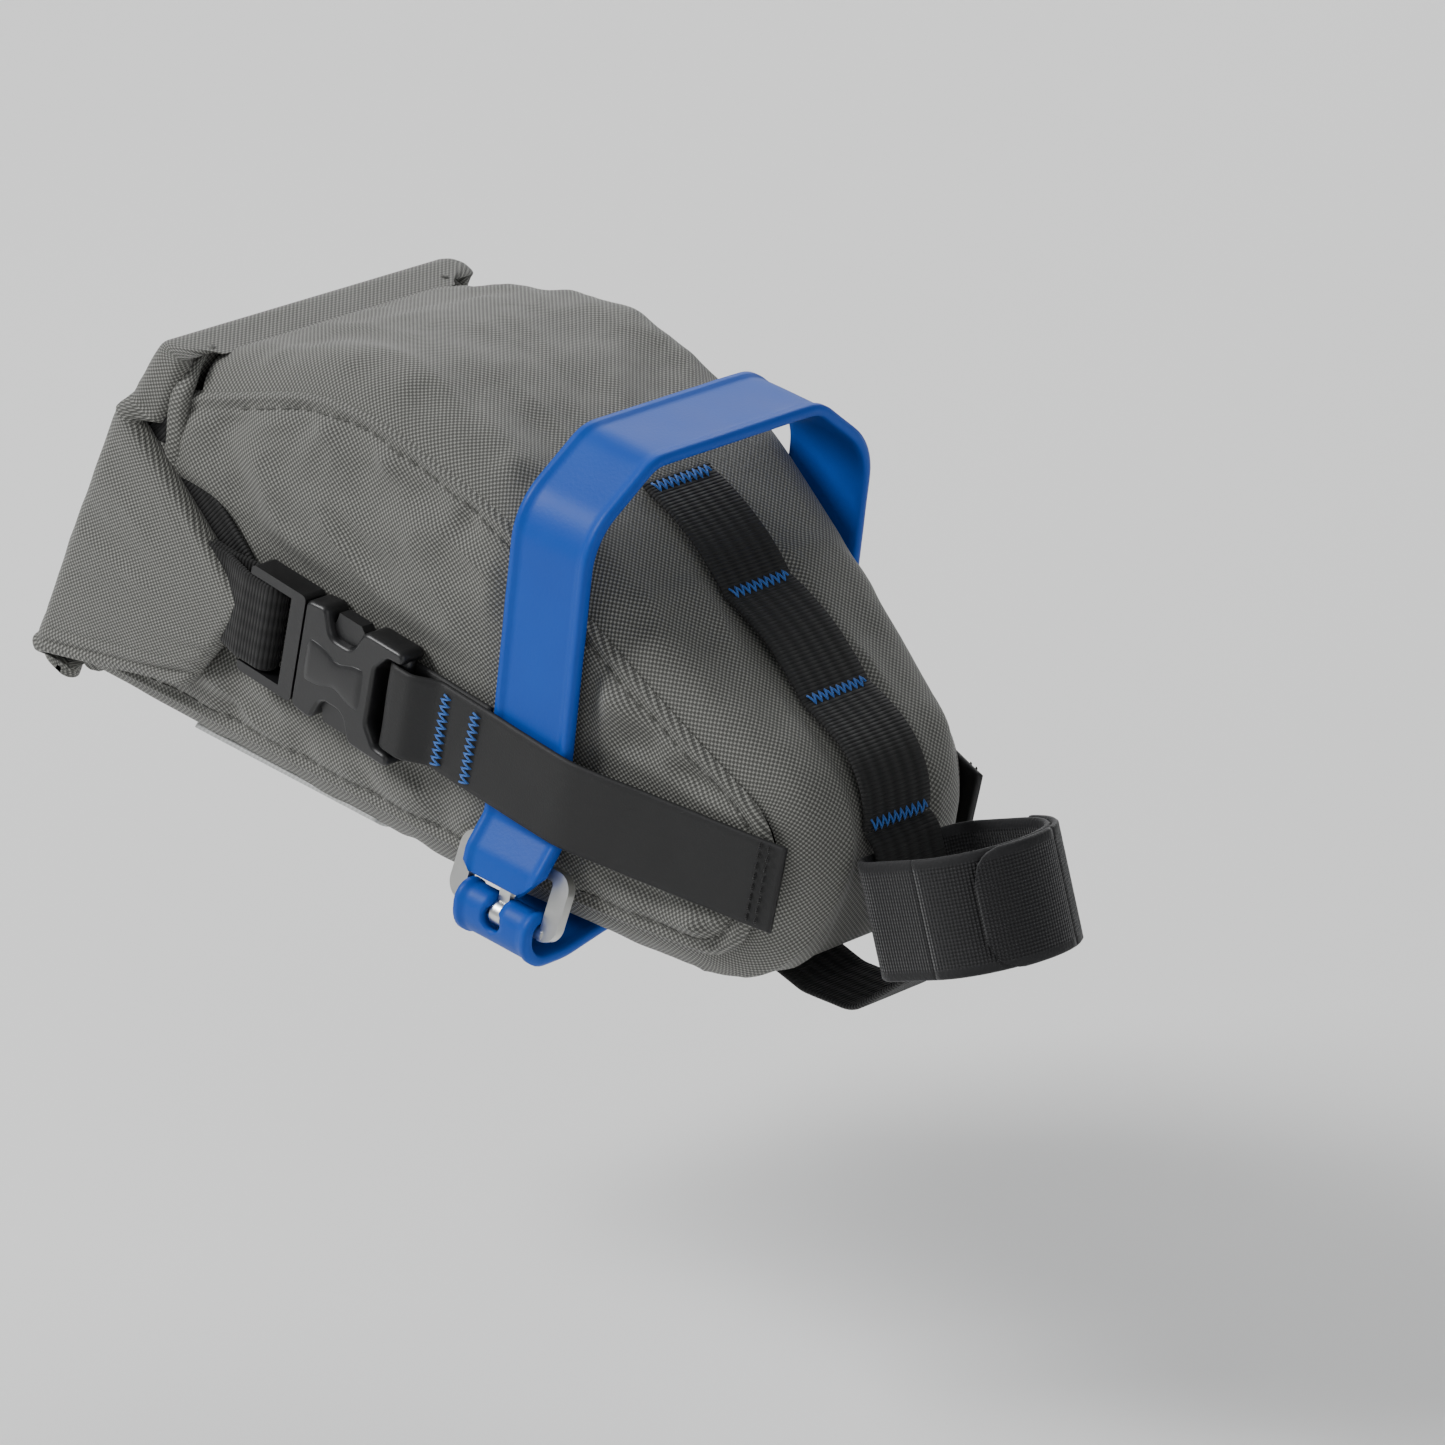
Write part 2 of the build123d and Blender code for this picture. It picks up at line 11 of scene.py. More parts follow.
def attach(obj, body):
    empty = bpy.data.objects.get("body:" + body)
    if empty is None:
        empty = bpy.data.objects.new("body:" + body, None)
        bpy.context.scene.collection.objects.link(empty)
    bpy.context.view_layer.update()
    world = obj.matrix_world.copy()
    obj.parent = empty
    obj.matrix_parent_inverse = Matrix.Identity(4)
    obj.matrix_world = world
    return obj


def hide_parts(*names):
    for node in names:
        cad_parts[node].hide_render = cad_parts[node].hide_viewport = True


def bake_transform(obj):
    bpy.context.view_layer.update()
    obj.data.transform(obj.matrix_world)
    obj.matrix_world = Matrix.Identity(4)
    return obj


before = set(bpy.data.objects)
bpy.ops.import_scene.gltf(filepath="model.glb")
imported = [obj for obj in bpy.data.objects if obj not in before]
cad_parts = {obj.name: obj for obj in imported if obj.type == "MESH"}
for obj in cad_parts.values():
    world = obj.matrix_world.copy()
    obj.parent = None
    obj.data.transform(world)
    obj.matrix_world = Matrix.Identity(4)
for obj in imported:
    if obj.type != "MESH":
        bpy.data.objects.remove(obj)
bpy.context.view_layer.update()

# ---------------- sizes, as in the part's source
BAG_TILT, POST_LEAN, BAG_DROP = radians(8.0), radians(17.0), 2.5
HALF_WIDTH, TAPER_START, TAPER_RADIUS = 41.0, -125.0, 376.0
MOUTH_TOP, MOUTH_BOTTOM, FLOOR_Z = (-195.0, 60.0), (-223.0, -27.0), -27.0
LID = [(-152.0, 76.5), (-103.0, 66.0), (-20.0, 15.0), (-33.0, FLOOR_Z)]
LID_RADII = [70.0, 70.0, 24.0, 18.0]
CLOSURE_DROP, MOUTH_X, MOUTH_Z, BUCKLE_GAP, BUCKLE_THICKNESS = radians(5.0), -150.0, 11.6, 0.5, 7.0
WEB_WIDTH, WEB_THICKNESS, BAR_RADIUS = 20.0, 1.4, 1.6
LADDER_BAR_U, SOCKET_BAR_U = -12.0, 27.4
STRAP_X, STRAP_WIDTH, STRAP_THICKNESS = -88.0, 21.5, 2.3
RAIL_Z, RAIL_RADIUS, RAIL_HALF_SPACING = 71.0, 3.5, 22.0
FRAME_BAR_Y, FRAME_BAR_Z, FRAME_TOP_Y, FRAME_TOP_Z, FRAME_BAR_RADIUS = 45.3, -24.5, 41.8, -12.5, 1.5
POST_RADIUS, POST_WIDTH, POST_THICKNESS, TAIL_LAYER = 15.8, 25.0, 1.4, 1.6
DAISY_WIDTH, DAISY_THICKNESS, CLEARANCE = 20.0, 1.2, 0.3
SEAM_IN = 7.5                # the side seam's distance from the outline
EDGE = 12.0                  # radius where the gusset turns into the sides
SINK = -0.1                  # of the gusset's skin, below the outline
MOUTH_LENGTH = 91.4
STITCH_RADIUS = 0.26
FLOOR_JOIN_X, TOP_JOIN_X = -48.0, -101.5     # where the gussets meet
RADIAN = 57.3                # in degrees
SIDES = ((-1, "right"), (1, "left"))
RISE = np.array([0, 0, 1.0])
SIDEWAYS = np.array([0, 1.0, 0])
AHEAD = np.array([1.0, 0, 0])


# ---------------- frames
def bag(points):
    """Points of the bag's frame in mm to the row's frame in m."""
    p = np.asarray(points, float)
    x = p[..., 0] * cos(BAG_TILT) + p[..., 2] * sin(BAG_TILT)
    z = -p[..., 0] * sin(BAG_TILT) + p[..., 2] * cos(BAG_TILT) - BAG_DROP
    return xyz(x, p[..., 1], z) / 1000


def post(points):
    """Points of the seatpost's frame in mm to the row's frame in m."""
    p = np.asarray(points, float)
    x = p[..., 0] * cos(POST_LEAN) - p[..., 2] * sin(POST_LEAN)
    z = p[..., 0] * sin(POST_LEAN) + p[..., 2] * cos(POST_LEAN)
    return xyz(x, p[..., 1], z) / 1000


def closure(points, side):
    """Points (u, v, w) of a side closure in mm to the row's frame in m; side is -1 on the right."""
    p = np.asarray(points, float)
    u, v, w = p[..., 0], p[..., 1], p[..., 2]
    x = MOUTH_X + u * cos(CLOSURE_DROP) + v * sin(CLOSURE_DROP)
    z = MOUTH_Z - u * sin(CLOSURE_DROP) + v * cos(CLOSURE_DROP)
    return bag(xyz(x, side * (HALF_WIDTH + BUCKLE_GAP + w), z))


def side_y(x, grow=0.0):
    """Half width of the bag at x."""
    x = np.maximum(np.asarray(x, float), TAPER_START)
    return np.sqrt((TAPER_RADIUS + grow) ** 2 - (x - TAPER_START) ** 2) - TAPER_RADIUS + HALF_WIDTH


def unit(v):
    """Vectors at length 1."""
    return v / np.linalg.norm(v, axis=-1, keepdims=True)


def run_length(points):
    """Length along a polyline at each of its points."""
    return np.concatenate([[0], np.cumsum(np.linalg.norm(np.diff(points, axis=0), axis=1))])


def circle(count):
    """Even turns round a circle."""
    return np.linspace(0, 2 * pi, count + 1)[:-1]


def bell(x, width):
    """A soft bump, 1 at 0."""
    return np.exp(-(x / width) ** 2)


def xyz(*parts):
    """Points from their coordinates, each a number or an array."""
    return np.stack(np.broadcast_arrays(*parts), -1)


def upright(line):
    """(x, z) points to the bag's middle plane, or (u, w) points to a closure's."""
    return xyz(line[:, 0], 0.0, line[:, 1])


def rounded(points, radii, step=1.0):
    """A polyline with round corners, as even points."""
    points = [np.asarray(p, float) for p in points]
    out = [points[0]]
    for i in range(1, len(points) - 1):
        a, b, c = points[i - 1], points[i], points[i + 1]
        back, ahead = unit(a - b), unit(c - b)
        half = np.arccos(np.clip(np.dot(back, ahead), -1, 1)) / 2
        radius = radii[i - 1]
        reach = radius / tan(half)
        centre = b + unit(back + ahead) * radius / sin(half)
        first, last = b + back * reach - centre, b + ahead * reach - centre
        turn = pi - 2 * half
        for k in range(13):
            t = k / 12
            out.append(centre + (np.sin((1 - t) * turn) * first + np.sin(t * turn) * last) / np.sin(turn))
    out.append(points[-1])
    return even(np.array(out), step)


def even(points, step):
    """The same line with points about a step apart."""
    along = run_length(points)
    count = max(2, int(ceil(along[-1] / step)) + 1)
    at = np.linspace(0, along[-1], count)
    return np.stack([np.interp(at, along, points[:, k]) for k in range(points.shape[1])], -1)


def smooth(low, high, x):
    """0 below low, 1 above high, with a soft step between."""
    t = np.clip((x - low) / (high - low), 0, 1)
    return t * t * (3 - 2 * t)


def ripple(x, y, z=0.0):
    """Smooth noise from -1 to 1 at each point."""
    x, y = np.broadcast_arrays(np.asarray(x, float), np.asarray(y, float))
    flat = [noise.noise(Vector((a, b, z))) for a, b in zip(x.ravel(), y.ravel())]
    return np.array(flat).reshape(x.shape)


# ---------------- meshes
def mesh_object(name, verts, faces, uvs=None):
    """A smooth-shaded object from points in the row's frame in m, with a UV in mm for each."""
    mesh = bpy.data.meshes.new(name)
    mesh.from_pydata([tuple(v) for v in verts], [], faces)
    mesh.validate()
    if uvs is not None:
        layer = mesh.uv_layers.new(name="UVMap")
        loops = np.empty(len(mesh.loops), int)
        mesh.loops.foreach_get("vertex_index", loops)
        layer.data.foreach_set("uv", np.asarray(uvs, float)[loops].ravel())
    mesh.polygons.foreach_set("use_smooth", [True] * len(mesh.polygons))
    mesh.update()
    obj = bpy.data.objects.new(name, mesh)
    bpy.context.scene.collection.objects.link(obj)
    return obj


def grid_faces(rows, cols, wrap=False, flip=False):
    """Quads of a grid of points, row by row."""
    faces = []
    for i in range(rows - 1):
        for j in range(cols if wrap else cols - 1):
            k = (j + 1) % cols
            quad = (i * cols + j, i * cols + k, (i + 1) * cols + k, (i + 1) * cols + j)
            faces.append(quad[::-1] if flip else quad)
    return faces


def tube(name, rings, uvs, place):
    """A closed skin over rings of points, with its two ends filled."""
    rings = np.asarray(rings)
    rows, cols = rings.shape[:2]
    faces = grid_faces(rows, cols, wrap=True)
    faces.append(tuple(range(cols))[::-1])
    faces.append(tuple((rows - 1) * cols + j for j in range(cols)))
    obj = mesh_object(name, place(rings.reshape(-1, 3)), faces, np.asarray(uvs).reshape(-1, 2))
    fix_normals(obj)
    return obj


def skin(name, rows, uvs, flip=False):
    """An open sheet over rows of points in the bag's frame."""
    rows = np.array(rows)
    return mesh_object(name, bag(rows.reshape(-1, 3)), grid_faces(*rows.shape[:2], flip=flip),
                       np.array(uvs).reshape(-1, 2))


def fix_normals(obj):
    """Turns every face outwards."""
    work = bmesh.new()
    work.from_mesh(obj.data)
    bmesh.ops.recalc_face_normals(work, faces=work.faces)
    work.to_mesh(obj.data)
    work.free()


def strap_section(width, thickness, lip=0.0, lip_width=1.6, edge=0.45):
    """A strap's section as (across, up) points: rounded edges, and a raised lip along each side."""
    half, t = width / 2, thickness / 2
    upper = [(-half, -t + edge), (-half, t - edge), (-half + edge, t + lip), (-half + lip_width, t + lip),
             (-half + lip_width + 0.5, t)]
    across = [(a, t) for a in np.linspace(-half + lip_width + 2, half - lip_width - 2, 9)]
    mirror_upper = [(-a, h) for a, h in upper[::-1]]
    lower = [(a, -t) for a in np.linspace(half - edge, -half + edge, 13)]
    return np.array(upper + across + mirror_upper + lower)


def strap(name, centres, across, section, place, wave=0.0, seed=0.0):
    """A strap along a line of centres; across is its width direction, or one for each centre."""
    centres = np.asarray(centres, float)
    across = np.broadcast_to(np.asarray(across, float), centres.shape)
    up = unit(np.cross(unit(np.gradient(centres, axis=0)), across))
    length = run_length(centres)
    a, h = section[:, 0], section[:, 1]
    lift = wave * ripple(length[:, None] / 9, a[None, :] / 12, seed)
    rings = (centres[:, None] + across[:, None] * a[None, :, None]
             + up[:, None] * (h[None, :, None] + lift[..., None]))
    uvs = xyz(length[:, None], a[None, :])
    return tube(name, rings, uvs, place)


# ---------------- materials
class Shader:
    """A Principled material with a few nodes in front of it."""

    def __init__(self, name, roughness, metallic=0.0, **sockets):
        self.material = bpy.data.materials.new(name)
        self.material.use_nodes = True
        self.tree = self.material.node_tree
        self.shader = self.tree.nodes["Principled BSDF"]
        self.shader.inputs["Roughness"].default_value = roughness
        self.shader.inputs["Metallic"].default_value = metallic
        for socket, value in sockets.items():
            self.shader.inputs[socket.replace("_", " ")].default_value = value

    def node(self, kind, out=0, **inputs):
        node = self.tree.nodes.new(kind)
        for key, value in inputs.items():
            if key.startswith("set_"):
                setattr(node, key[4:], value)
                continue
            socket = node.inputs[int(key[1:])] if key[1:].isdigit() else node.inputs[key.replace("_", " ")]
            if hasattr(value, "is_output"):
                self.tree.links.new(value, socket)
            else:
                socket.default_value = value
        return node.outputs[out]

    def math(self, operation, a, b=0.0):
        return self.node("ShaderNodeMath", set_operation=operation, i0=a, i1=b)

    def mix(self, factor, a, b):
        return self.node("ShaderNodeMix", out=2, set_data_type="RGBA", i0=factor,
                         i6=a if hasattr(a, "is_output") else (*a, 1),
                         i7=b if hasattr(b, "is_output") else (*b, 1))

    def limits(self, value, **limits):
        return self.node("ShaderNodeMapRange", Value=value, **limits)

    def noise(self, scale, detail=3.0):
        """Noise in the object's own space, scale per metre."""
        coords = self.node("ShaderNodeTexCoord", out=3)
        return self.node("ShaderNodeTexNoise", Vector=coords, Scale=scale, Detail=detail)

    def uv(self):
        coords = self.node("ShaderNodeTexCoord", out=2)
        parts = self.tree.nodes.new("ShaderNodeSeparateXYZ")
        self.tree.links.new(coords, parts.inputs[0])
        return parts.outputs[0], parts.outputs[1]

    def wave(self, value, pitch, phase=0.0):
        """A sine of a length in mm."""
        turned = self.math("MULTIPLY", value, 2 * pi / pitch)
        return self.math("SINE", self.math("ADD", turned, phase))

    def colour(self, value):
        self.tree.links.new(value, self.shader.inputs["Base Color"])

    def rough(self, value):
        self.tree.links.new(value, self.shader.inputs["Roughness"])

    def bump(self, height, distance, strength, **under):
        """A bump of a distance in m; Normal may be an earlier one."""
        normal = self.node("ShaderNodeBump", Height=height, Distance=distance, Strength=strength, **under)
        self.tree.links.new(normal, self.shader.inputs["Normal"])
        return normal


def shell_fabric():
    """Coated nylon in a small basket weave: pale threads over a darker ground, slightly worn in patches."""
    s = Shader("shell_fabric", 0.62, Sheen_Weight=0.1, Sheen_Roughness=0.5)
    u, v = s.uv()
    pitch = 1.15
    dots = s.math("MULTIPLY", s.wave(u, pitch), s.wave(v, pitch))
    fine = s.math("MULTIPLY", s.wave(u, pitch / 3, 0.7), s.wave(v, pitch / 3, 0.7))
    weave = s.math("ADD", s.math("MULTIPLY", dots, 0.7), s.math("MULTIPLY", fine, 0.3))
    level = s.limits(weave, From_Min=-0.1, From_Max=0.6)
    patches = s.noise(45.0, 4.0)
    dark = s.mix(patches, (0.040, 0.040, 0.035), (0.055, 0.055, 0.049))
    light = s.mix(patches, (0.25, 0.25, 0.228), (0.32, 0.32, 0.293))
    s.colour(s.mix(level, dark, light))
    s.rough(s.limits(patches, To_Min=0.5, To_Max=0.72))
    broad = s.bump(s.noise(260.0, 2.0), 0.00035, 0.35)
    s.bump(weave, 0.00022, 0.55, Normal=broad)
    return s.material


def webbing_fabric(name, pitch, across, colour=(0.004, 0.004, 0.004)):
    """Ribbed black tape."""
    s = Shader(name, 0.75, Sheen_Weight=0.1, Sheen_Roughness=0.4, Specular_IOR_Level=0.3)
    u, v = s.uv()
    ribs = s.math("ABSOLUTE", s.wave(u, pitch * 2))
    rows = s.wave(v, across)
    weave = s.math("ADD", s.math("MULTIPLY", ribs, 0.7), s.math("MULTIPLY", rows, 0.3))
    s.colour(s.mix(s.limits(weave, From_Min=-0.2, From_Max=1.0), colour, tuple(4.5 * c for c in colour)))
    s.bump(weave, 0.00035, 0.8)
    return s.material


def moulded(name, roughness, grain, cloud, colours, gloss, bump, **sockets):
    """A plain material with a fine grain, cloudy in colour and gloss; grain and cloud are (scale, detail)."""
    s = Shader(name, roughness, **sockets)
    fine = s.noise(grain[0], grain[1])
    patches = s.noise(cloud[0], cloud[1])
    s.colour(s.mix(patches, *colours))
    s.rough(s.limits(patches, To_Min=gloss[0], To_Max=gloss[1]))
    s.bump(fine, *bump)
    return s.material


def metal():
    """Tumbled aluminium."""
    s = Shader("buckle_metal", 0.34, metallic=1.0)
    tumble = s.noise(900.0, 4.0)
    smear = s.noise(120.0, 3.0)
    s.colour(s.mix(smear, (0.60, 0.60, 0.58), (0.74, 0.74, 0.72)))
    s.rough(s.limits(tumble, To_Min=0.26, To_Max=0.46))
    s.bump(tumble, 0.00005, 0.3)
    return s.material


def thread(name, roughness, pitch, colours, strength, **sockets):
    """Twisted thread."""
    s = Shader(name, roughness, **sockets)
    u, v = s.uv()
    twist = s.wave(s.math("ADD", u, v), pitch)
    s.colour(s.mix(s.limits(twist, From_Min=-1.0), *colours))
    s.bump(twist, 0.00006, strength)
    return s.material


def hook_tape():
    """Hook-and-loop tape: staggered dots of a mesh, with a plain woven edge."""
    s = Shader("hook_and_loop", 0.7, Sheen_Weight=0.15, Sheen_Roughness=0.35, Specular_IOR_Level=0.35)
    u, v = s.uv()
    slant = s.math("MULTIPLY", s.wave(s.math("ADD", u, v), 1.5), s.wave(s.math("SUBTRACT", u, v), 1.5))
    inside = s.limits(s.math("ABSOLUTE", v), From_Min=10.0, From_Max=10.8,
                    To_Min=1.0, To_Max=0.0)
    nap = s.math("MULTIPLY", slant, inside)
    s.colour(s.mix(s.limits(nap, From_Min=-0.5, From_Max=0.8),
                   (0.004, 0.004, 0.0045), (0.024, 0.024, 0.026)))
    s.bump(s.math("ADD", nap, s.noise(1400.0, 2.0)), 0.0003, 0.7)
    return s.material


def reflective():
    """Grey reflective tape under a fine grid."""
    s = Shader("reflective_tape", 0.35, Sheen_Weight=0.2)
    u, v = s.uv()
    grid = s.math("MULTIPLY", s.wave(u, 1.2), s.wave(v, 1.2))
    s.colour(s.mix(s.limits(grid, From_Min=-1.0), (0.42, 0.43, 0.42), (0.56, 0.57, 0.56)))
    s.bump(grid, 0.00005, 0.4)
    return s.material


MATERIALS = {
    "shell_fabric": shell_fabric(),
    "black_webbing": webbing_fabric("black_webbing", 0.85, 3.4),
    "black_laminate": moulded("black_laminate", 0.62, (2600.0, 2.0), (60.0, 3.0),
                              ((0.011, 0.011, 0.0112), (0.0185, 0.0185, 0.0188)), (0.5, 0.68),
                              (0.00012, 0.5), Specular_IOR_Level=0.35),
    "buckle_plastic": moulded("buckle_plastic", 0.38, (1800.0, 2.0), (70.0, 4.0),
                              ((0.005, 0.005, 0.0056), (0.009, 0.009, 0.0099)), (0.3, 0.5),
                              (0.00006, 0.35)),
    "blue_strap": moulded("blue_strap", 0.55, (1500.0, 3.0), (38.0, 5.0),
                          ((0.001, 0.050, 0.34), (0.002, 0.084, 0.46)), (0.42, 0.62), (0.0001, 0.4),
                          Specular_IOR_Level=0.25, Subsurface_Weight=0.06, Subsurface_Scale=0.002),
    "buckle_metal": metal(),
    "blue_thread": thread("blue_thread", 0.5, 0.5, ((0.006, 0.07, 0.30), (0.02, 0.16, 0.55)), 0.5,
                          Sheen_Weight=0.15),
    "hook_and_loop": hook_tape(),
    "reflective_tape": reflective(),
}
GREY_THREAD = thread("grey_thread", 0.7, 0.8, ((0.05, 0.05, 0.045), (0.12, 0.12, 0.11)), 0.4)


def finish_piece(obj, slot, body="bag", replaces=(), ride=True):
    """Gives a piece the material of its slot, ties it to its body unless ride is off, and hides the CAD nodes
    that it stands for.
    """
    obj.data.materials.clear()
    obj.data.materials.append(MATERIALS[slot])
    if ride:
        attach(obj, body)
    if replaces:
        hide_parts(*replaces)
    return obj


# ---------------- the bag's skin
LINE = rounded([MOUTH_TOP, *LID, MOUTH_BOTTOM], LID_RADII, 1.3)
ALONG = unit(np.gradient(LINE, axis=0))
OUT = xyz(-ALONG[:, 1], ALONG[:, 0])
LENGTH = run_length(LINE)


def closure_v(x, z):
    """Height above the middle of the side closure."""
    return (x - MOUTH_X) * sin(CLOSURE_DROP) + (z - MOUTH_Z) * cos(CLOSURE_DROP)


def inset_y(x, d):
    """Half width of the bag at an inset d from its outline."""
    d = np.clip(d, 0, EDGE)
    return side_y(x) - (EDGE - np.sqrt(EDGE ** 2 - (EDGE - d) ** 2))


def creases(x, y, z=0.0):
    """Noise with sharp ridges, as in folded cloth."""
    return 0.75 - 2.2 * np.abs(ripple(x, y, z))


def side_puff(x, z, d, along, seed):
    """How far the padded side stands out: nothing under the straps, full between them, creased."""
    v = np.abs(closure_v(x, z))
    beside_wing = smooth(10.5, 16, v)
    beside_buckle = smooth(14, 21, v)
    wing_part = smooth(-100, -93, x)
    beside_closure = beside_buckle * (1 - wing_part) + beside_wing * wing_part
    beside_strap = smooth(11.2, 17, np.abs(x - STRAP_X))
    crown = 1.6 * smooth(8, 26, d)
    folds = (1.9 * ripple(x / 30 + z / 40, z / 13 - x / 60, seed)
             + 1.5 * creases(x / 22 + z / 26, z / 15, seed + 7)
             + 0.5 * ripple(x / 12, z / 8 + x / 30, seed + 5)
             + 0.2 * ripple(x / 5, z / 4.5, seed + 3))
    pucker = np.sin(along / 3.1 + 2.2 * ripple(along / 17, 0 * along, seed))
    pulled = 0.8 * pucker * np.exp(-np.abs(d - 14) / 5)
    swirl = np.arctan2(z - 2, -20 - x)
    drag = 1.7 * np.sin(swirl * 9 + 1.5 * ripple(x / 18, z / 18, seed)) * smooth(-80, -52, x)
    ridge = 0.75 * bell(d - 8.5, 0.9) - 0.4 * bell(d - 10.9, 0.9)
    tuck = -0.5 * bell(d - 7.2, 0.5)
    off_seam = smooth(9.5, 15, d)
    puff = crown + (folds + drag) * off_seam + pulled * smooth(8.5, 11, d)
    return beside_strap * beside_closure * puff + ridge + tuck


def gusset_lift(along, y):
    """How far the gusset stands out from its outline: pressed under the straps, slightly wavy."""
    x = np.interp(along, LENGTH, LINE[:, 0])
    z = np.interp(along, LENGTH, LINE[:, 1])
    under_strap = 1 - smooth(10.8, 15, np.abs(x - STRAP_X))
    upper = (along < LENGTH[-1] * 0.56)
    daisy = (1 - smooth(10.5, 14, np.abs(y))) * smooth(100, 108, along) * (1 - smooth(245, 255, along))
    free = (1 - under_strap) * (1 - daisy)
    waves = (1.1 * ripple(along / 24, y / 16, 5.0)
             + 0.7 * creases(along / 30 + y / 22, y / 14, 15.0)
             + 0.4 * ripple(along / 9, y / 12, 9.0)
             + 0.15 * ripple(along / 4, y / 5, 2.0))
    crown = np.where(upper, 0.7, 0.3) * np.cos(np.clip(y / 30, -1, 1) * pi / 2)
    pucker = 0.35 * np.sin(along / 2.7 + 2 * ripple(along / 15, 0 * along, 4.0)) * smooth(26, 34, np.abs(y))
    joins = 0.36 * (bell(x - TOP_JOIN_X, 0.9) * (z > 0) + bell(x - FLOOR_JOIN_X, 0.9) * (z < 0))
    to_mouth = np.minimum(along, LENGTH[-1] - along)
    corner = np.clip(1 - (LENGTH[-1] - along) / 38, 0, 1) ** 2 * smooth(12, 34, np.abs(y))
    return free * smooth(1, 10, to_mouth) * (waves + crown + pucker + joins) - 6.0 * corner + SINK


def build_gusset():
    """Top, nose and floor in one run, from side seam to side seam."""
    theta = np.linspace(0, np.arccos((EDGE - SEAM_IN) / EDGE) + 0.02, 15)
    flat = np.linspace(-1, 1, 43)
    rows, uvs = [], []
    for i, (x, z) in enumerate(LINE):
        edge = float(side_y(x)) - EDGE
        round_edge = edge + EDGE * np.sin(theta[1:])
        y = np.concatenate([-round_edge[::-1], flat * edge, round_edge])
        turn = np.concatenate([theta[:0:-1], flat * 0, theta[1:]])
        inset = EDGE * (1 - np.cos(turn))
        to_seam = 1 - smooth(0.3, 0.85, turn / theta[-1])
        lift = (gusset_lift(LENGTH[i], y) - SINK) * to_seam + SINK
        normal_out = np.cos(turn)
        normal_y = np.sign(y) * np.sin(turn)
        rows.append(xyz(x + OUT[i, 0] * (lift * normal_out - inset), y + lift * normal_y,
                        z + OUT[i, 1] * (lift * normal_out - inset)))
        across = np.sign(y) * (np.minimum(np.abs(y), edge) + EDGE * turn)
        uvs.append(xyz(LENGTH[i], across))
    return skin("bag_gusset", rows, uvs, flip=True)


def inward():
    """Direction into the side at each point of the outline, along the mouth at both its ends."""
    turn_in = 34.0
    mouth = unit(np.array(MOUTH_BOTTOM) - np.array(MOUTH_TOP))
    start = (1 - smooth(0, turn_in, LENGTH))[:, None]
    end = smooth(LENGTH[-1] - turn_in, LENGTH[-1], LENGTH)[:, None]
    into = unit(-OUT * (1 - start - end) + mouth * start - mouth * end)
    return into / np.sum(into * -OUT, axis=1, keepdims=True)


INTO = inward()


def side_points(flat, d, along, side, seed):
    """Points of the side at (x, z) places, insets and lengths along the outline."""
    x, z = flat[..., 0], flat[..., 1]
    return xyz(x, side * (inset_y(x, d) + side_puff(x, z, d, along, seed)), z)


def build_side(side, name, seed):
    """A side panel: rings along the seam, then runs to the middle of the side."""
    near = np.linspace(7.1, 14.0, 17)
    rows = []
    for i in range(len(LINE)):
        ring = LINE[i] + INTO[i] * near[:, None]
        mouth_x = (MOUTH_TOP if i < len(LINE) / 2 else MOUTH_BOTTOM)[0]
        t = np.clip((LINE[i, 0] - mouth_x) / 160.0, 0, 1)
        middle = np.array([-209 + 147 * t, 16.5 - 6 * t])
        run = ring[-1] + (middle - ring[-1]) * np.linspace(0, 1, 34)[1:, None]
        rows.append(np.concatenate([ring, run]))
    flat = np.array(rows)
    d = np.empty(flat.shape[:2])
    for i in range(len(LINE)):
        gap = np.linalg.norm(flat[i][:, None] - LINE[None, ::2], axis=2).min(1)
        d[i] = np.maximum(gap, near[-1])
        d[i, :len(near)] = near
    points = side_points(flat, d, np.broadcast_to(LENGTH[:, None], d.shape), side, seed)
    return skin(name, points, flat, flip=side > 0)


def stitches(name, starts, ends, lift):
    """Short raised stitches between pairs of points in the row's frame; lift is each one's outward unit."""
    profile = ((0, 0.35, -0.2), (0.2, 0.9, 0.55), (0.5, 1.0, 0.8), (0.8, 0.9, 0.55), (1, 0.35, -0.2))
    verts, faces, uvs = [], [], []
    for a, b, up in zip(starts, ends, lift):
        wide = np.cross(unit(b - a), up)
        first = len(verts)
        for t, size, rise in profile:
            centre = a + (b - a) * t + up * STITCH_RADIUS / 1000 * rise
            for k, turn in enumerate(circle(6)):
                verts.append(centre + (wide * cos(turn) + up * sin(turn)) * STITCH_RADIUS / 1000 * size)
                uvs.append((t * 3, k / 3))
        faces += [tuple(first + c for c in quad) for quad in grid_faces(len(profile), 6, wrap=True)]
    obj = mesh_object(name, verts, faces, uvs)
    fix_normals(obj)
    return obj


def seam_stitches(side, name, seed):
    """The top stitching beside the side seam."""
    starts, ends, lift = [], [], []
    pitch, stitch, inset = 3.3, 2.6, 10.9
    for s in np.arange(16.0, LENGTH[-1] - 12, pitch):
        i = np.array([np.argmin(np.abs(LENGTH - s)), np.argmin(np.abs(LENGTH - s - stitch))])
        line = LINE[i] + INTO[i] * inset
        first, last = bag(side_points(line, np.full(2, inset), LENGTH[i], side, seed))
        if np.linalg.norm(last - first) >= 0.0008:
            starts.append(first)
            ends.append(last)
            lift.append(side * SIDEWAYS)
    return stitches(name, starts, ends, lift)


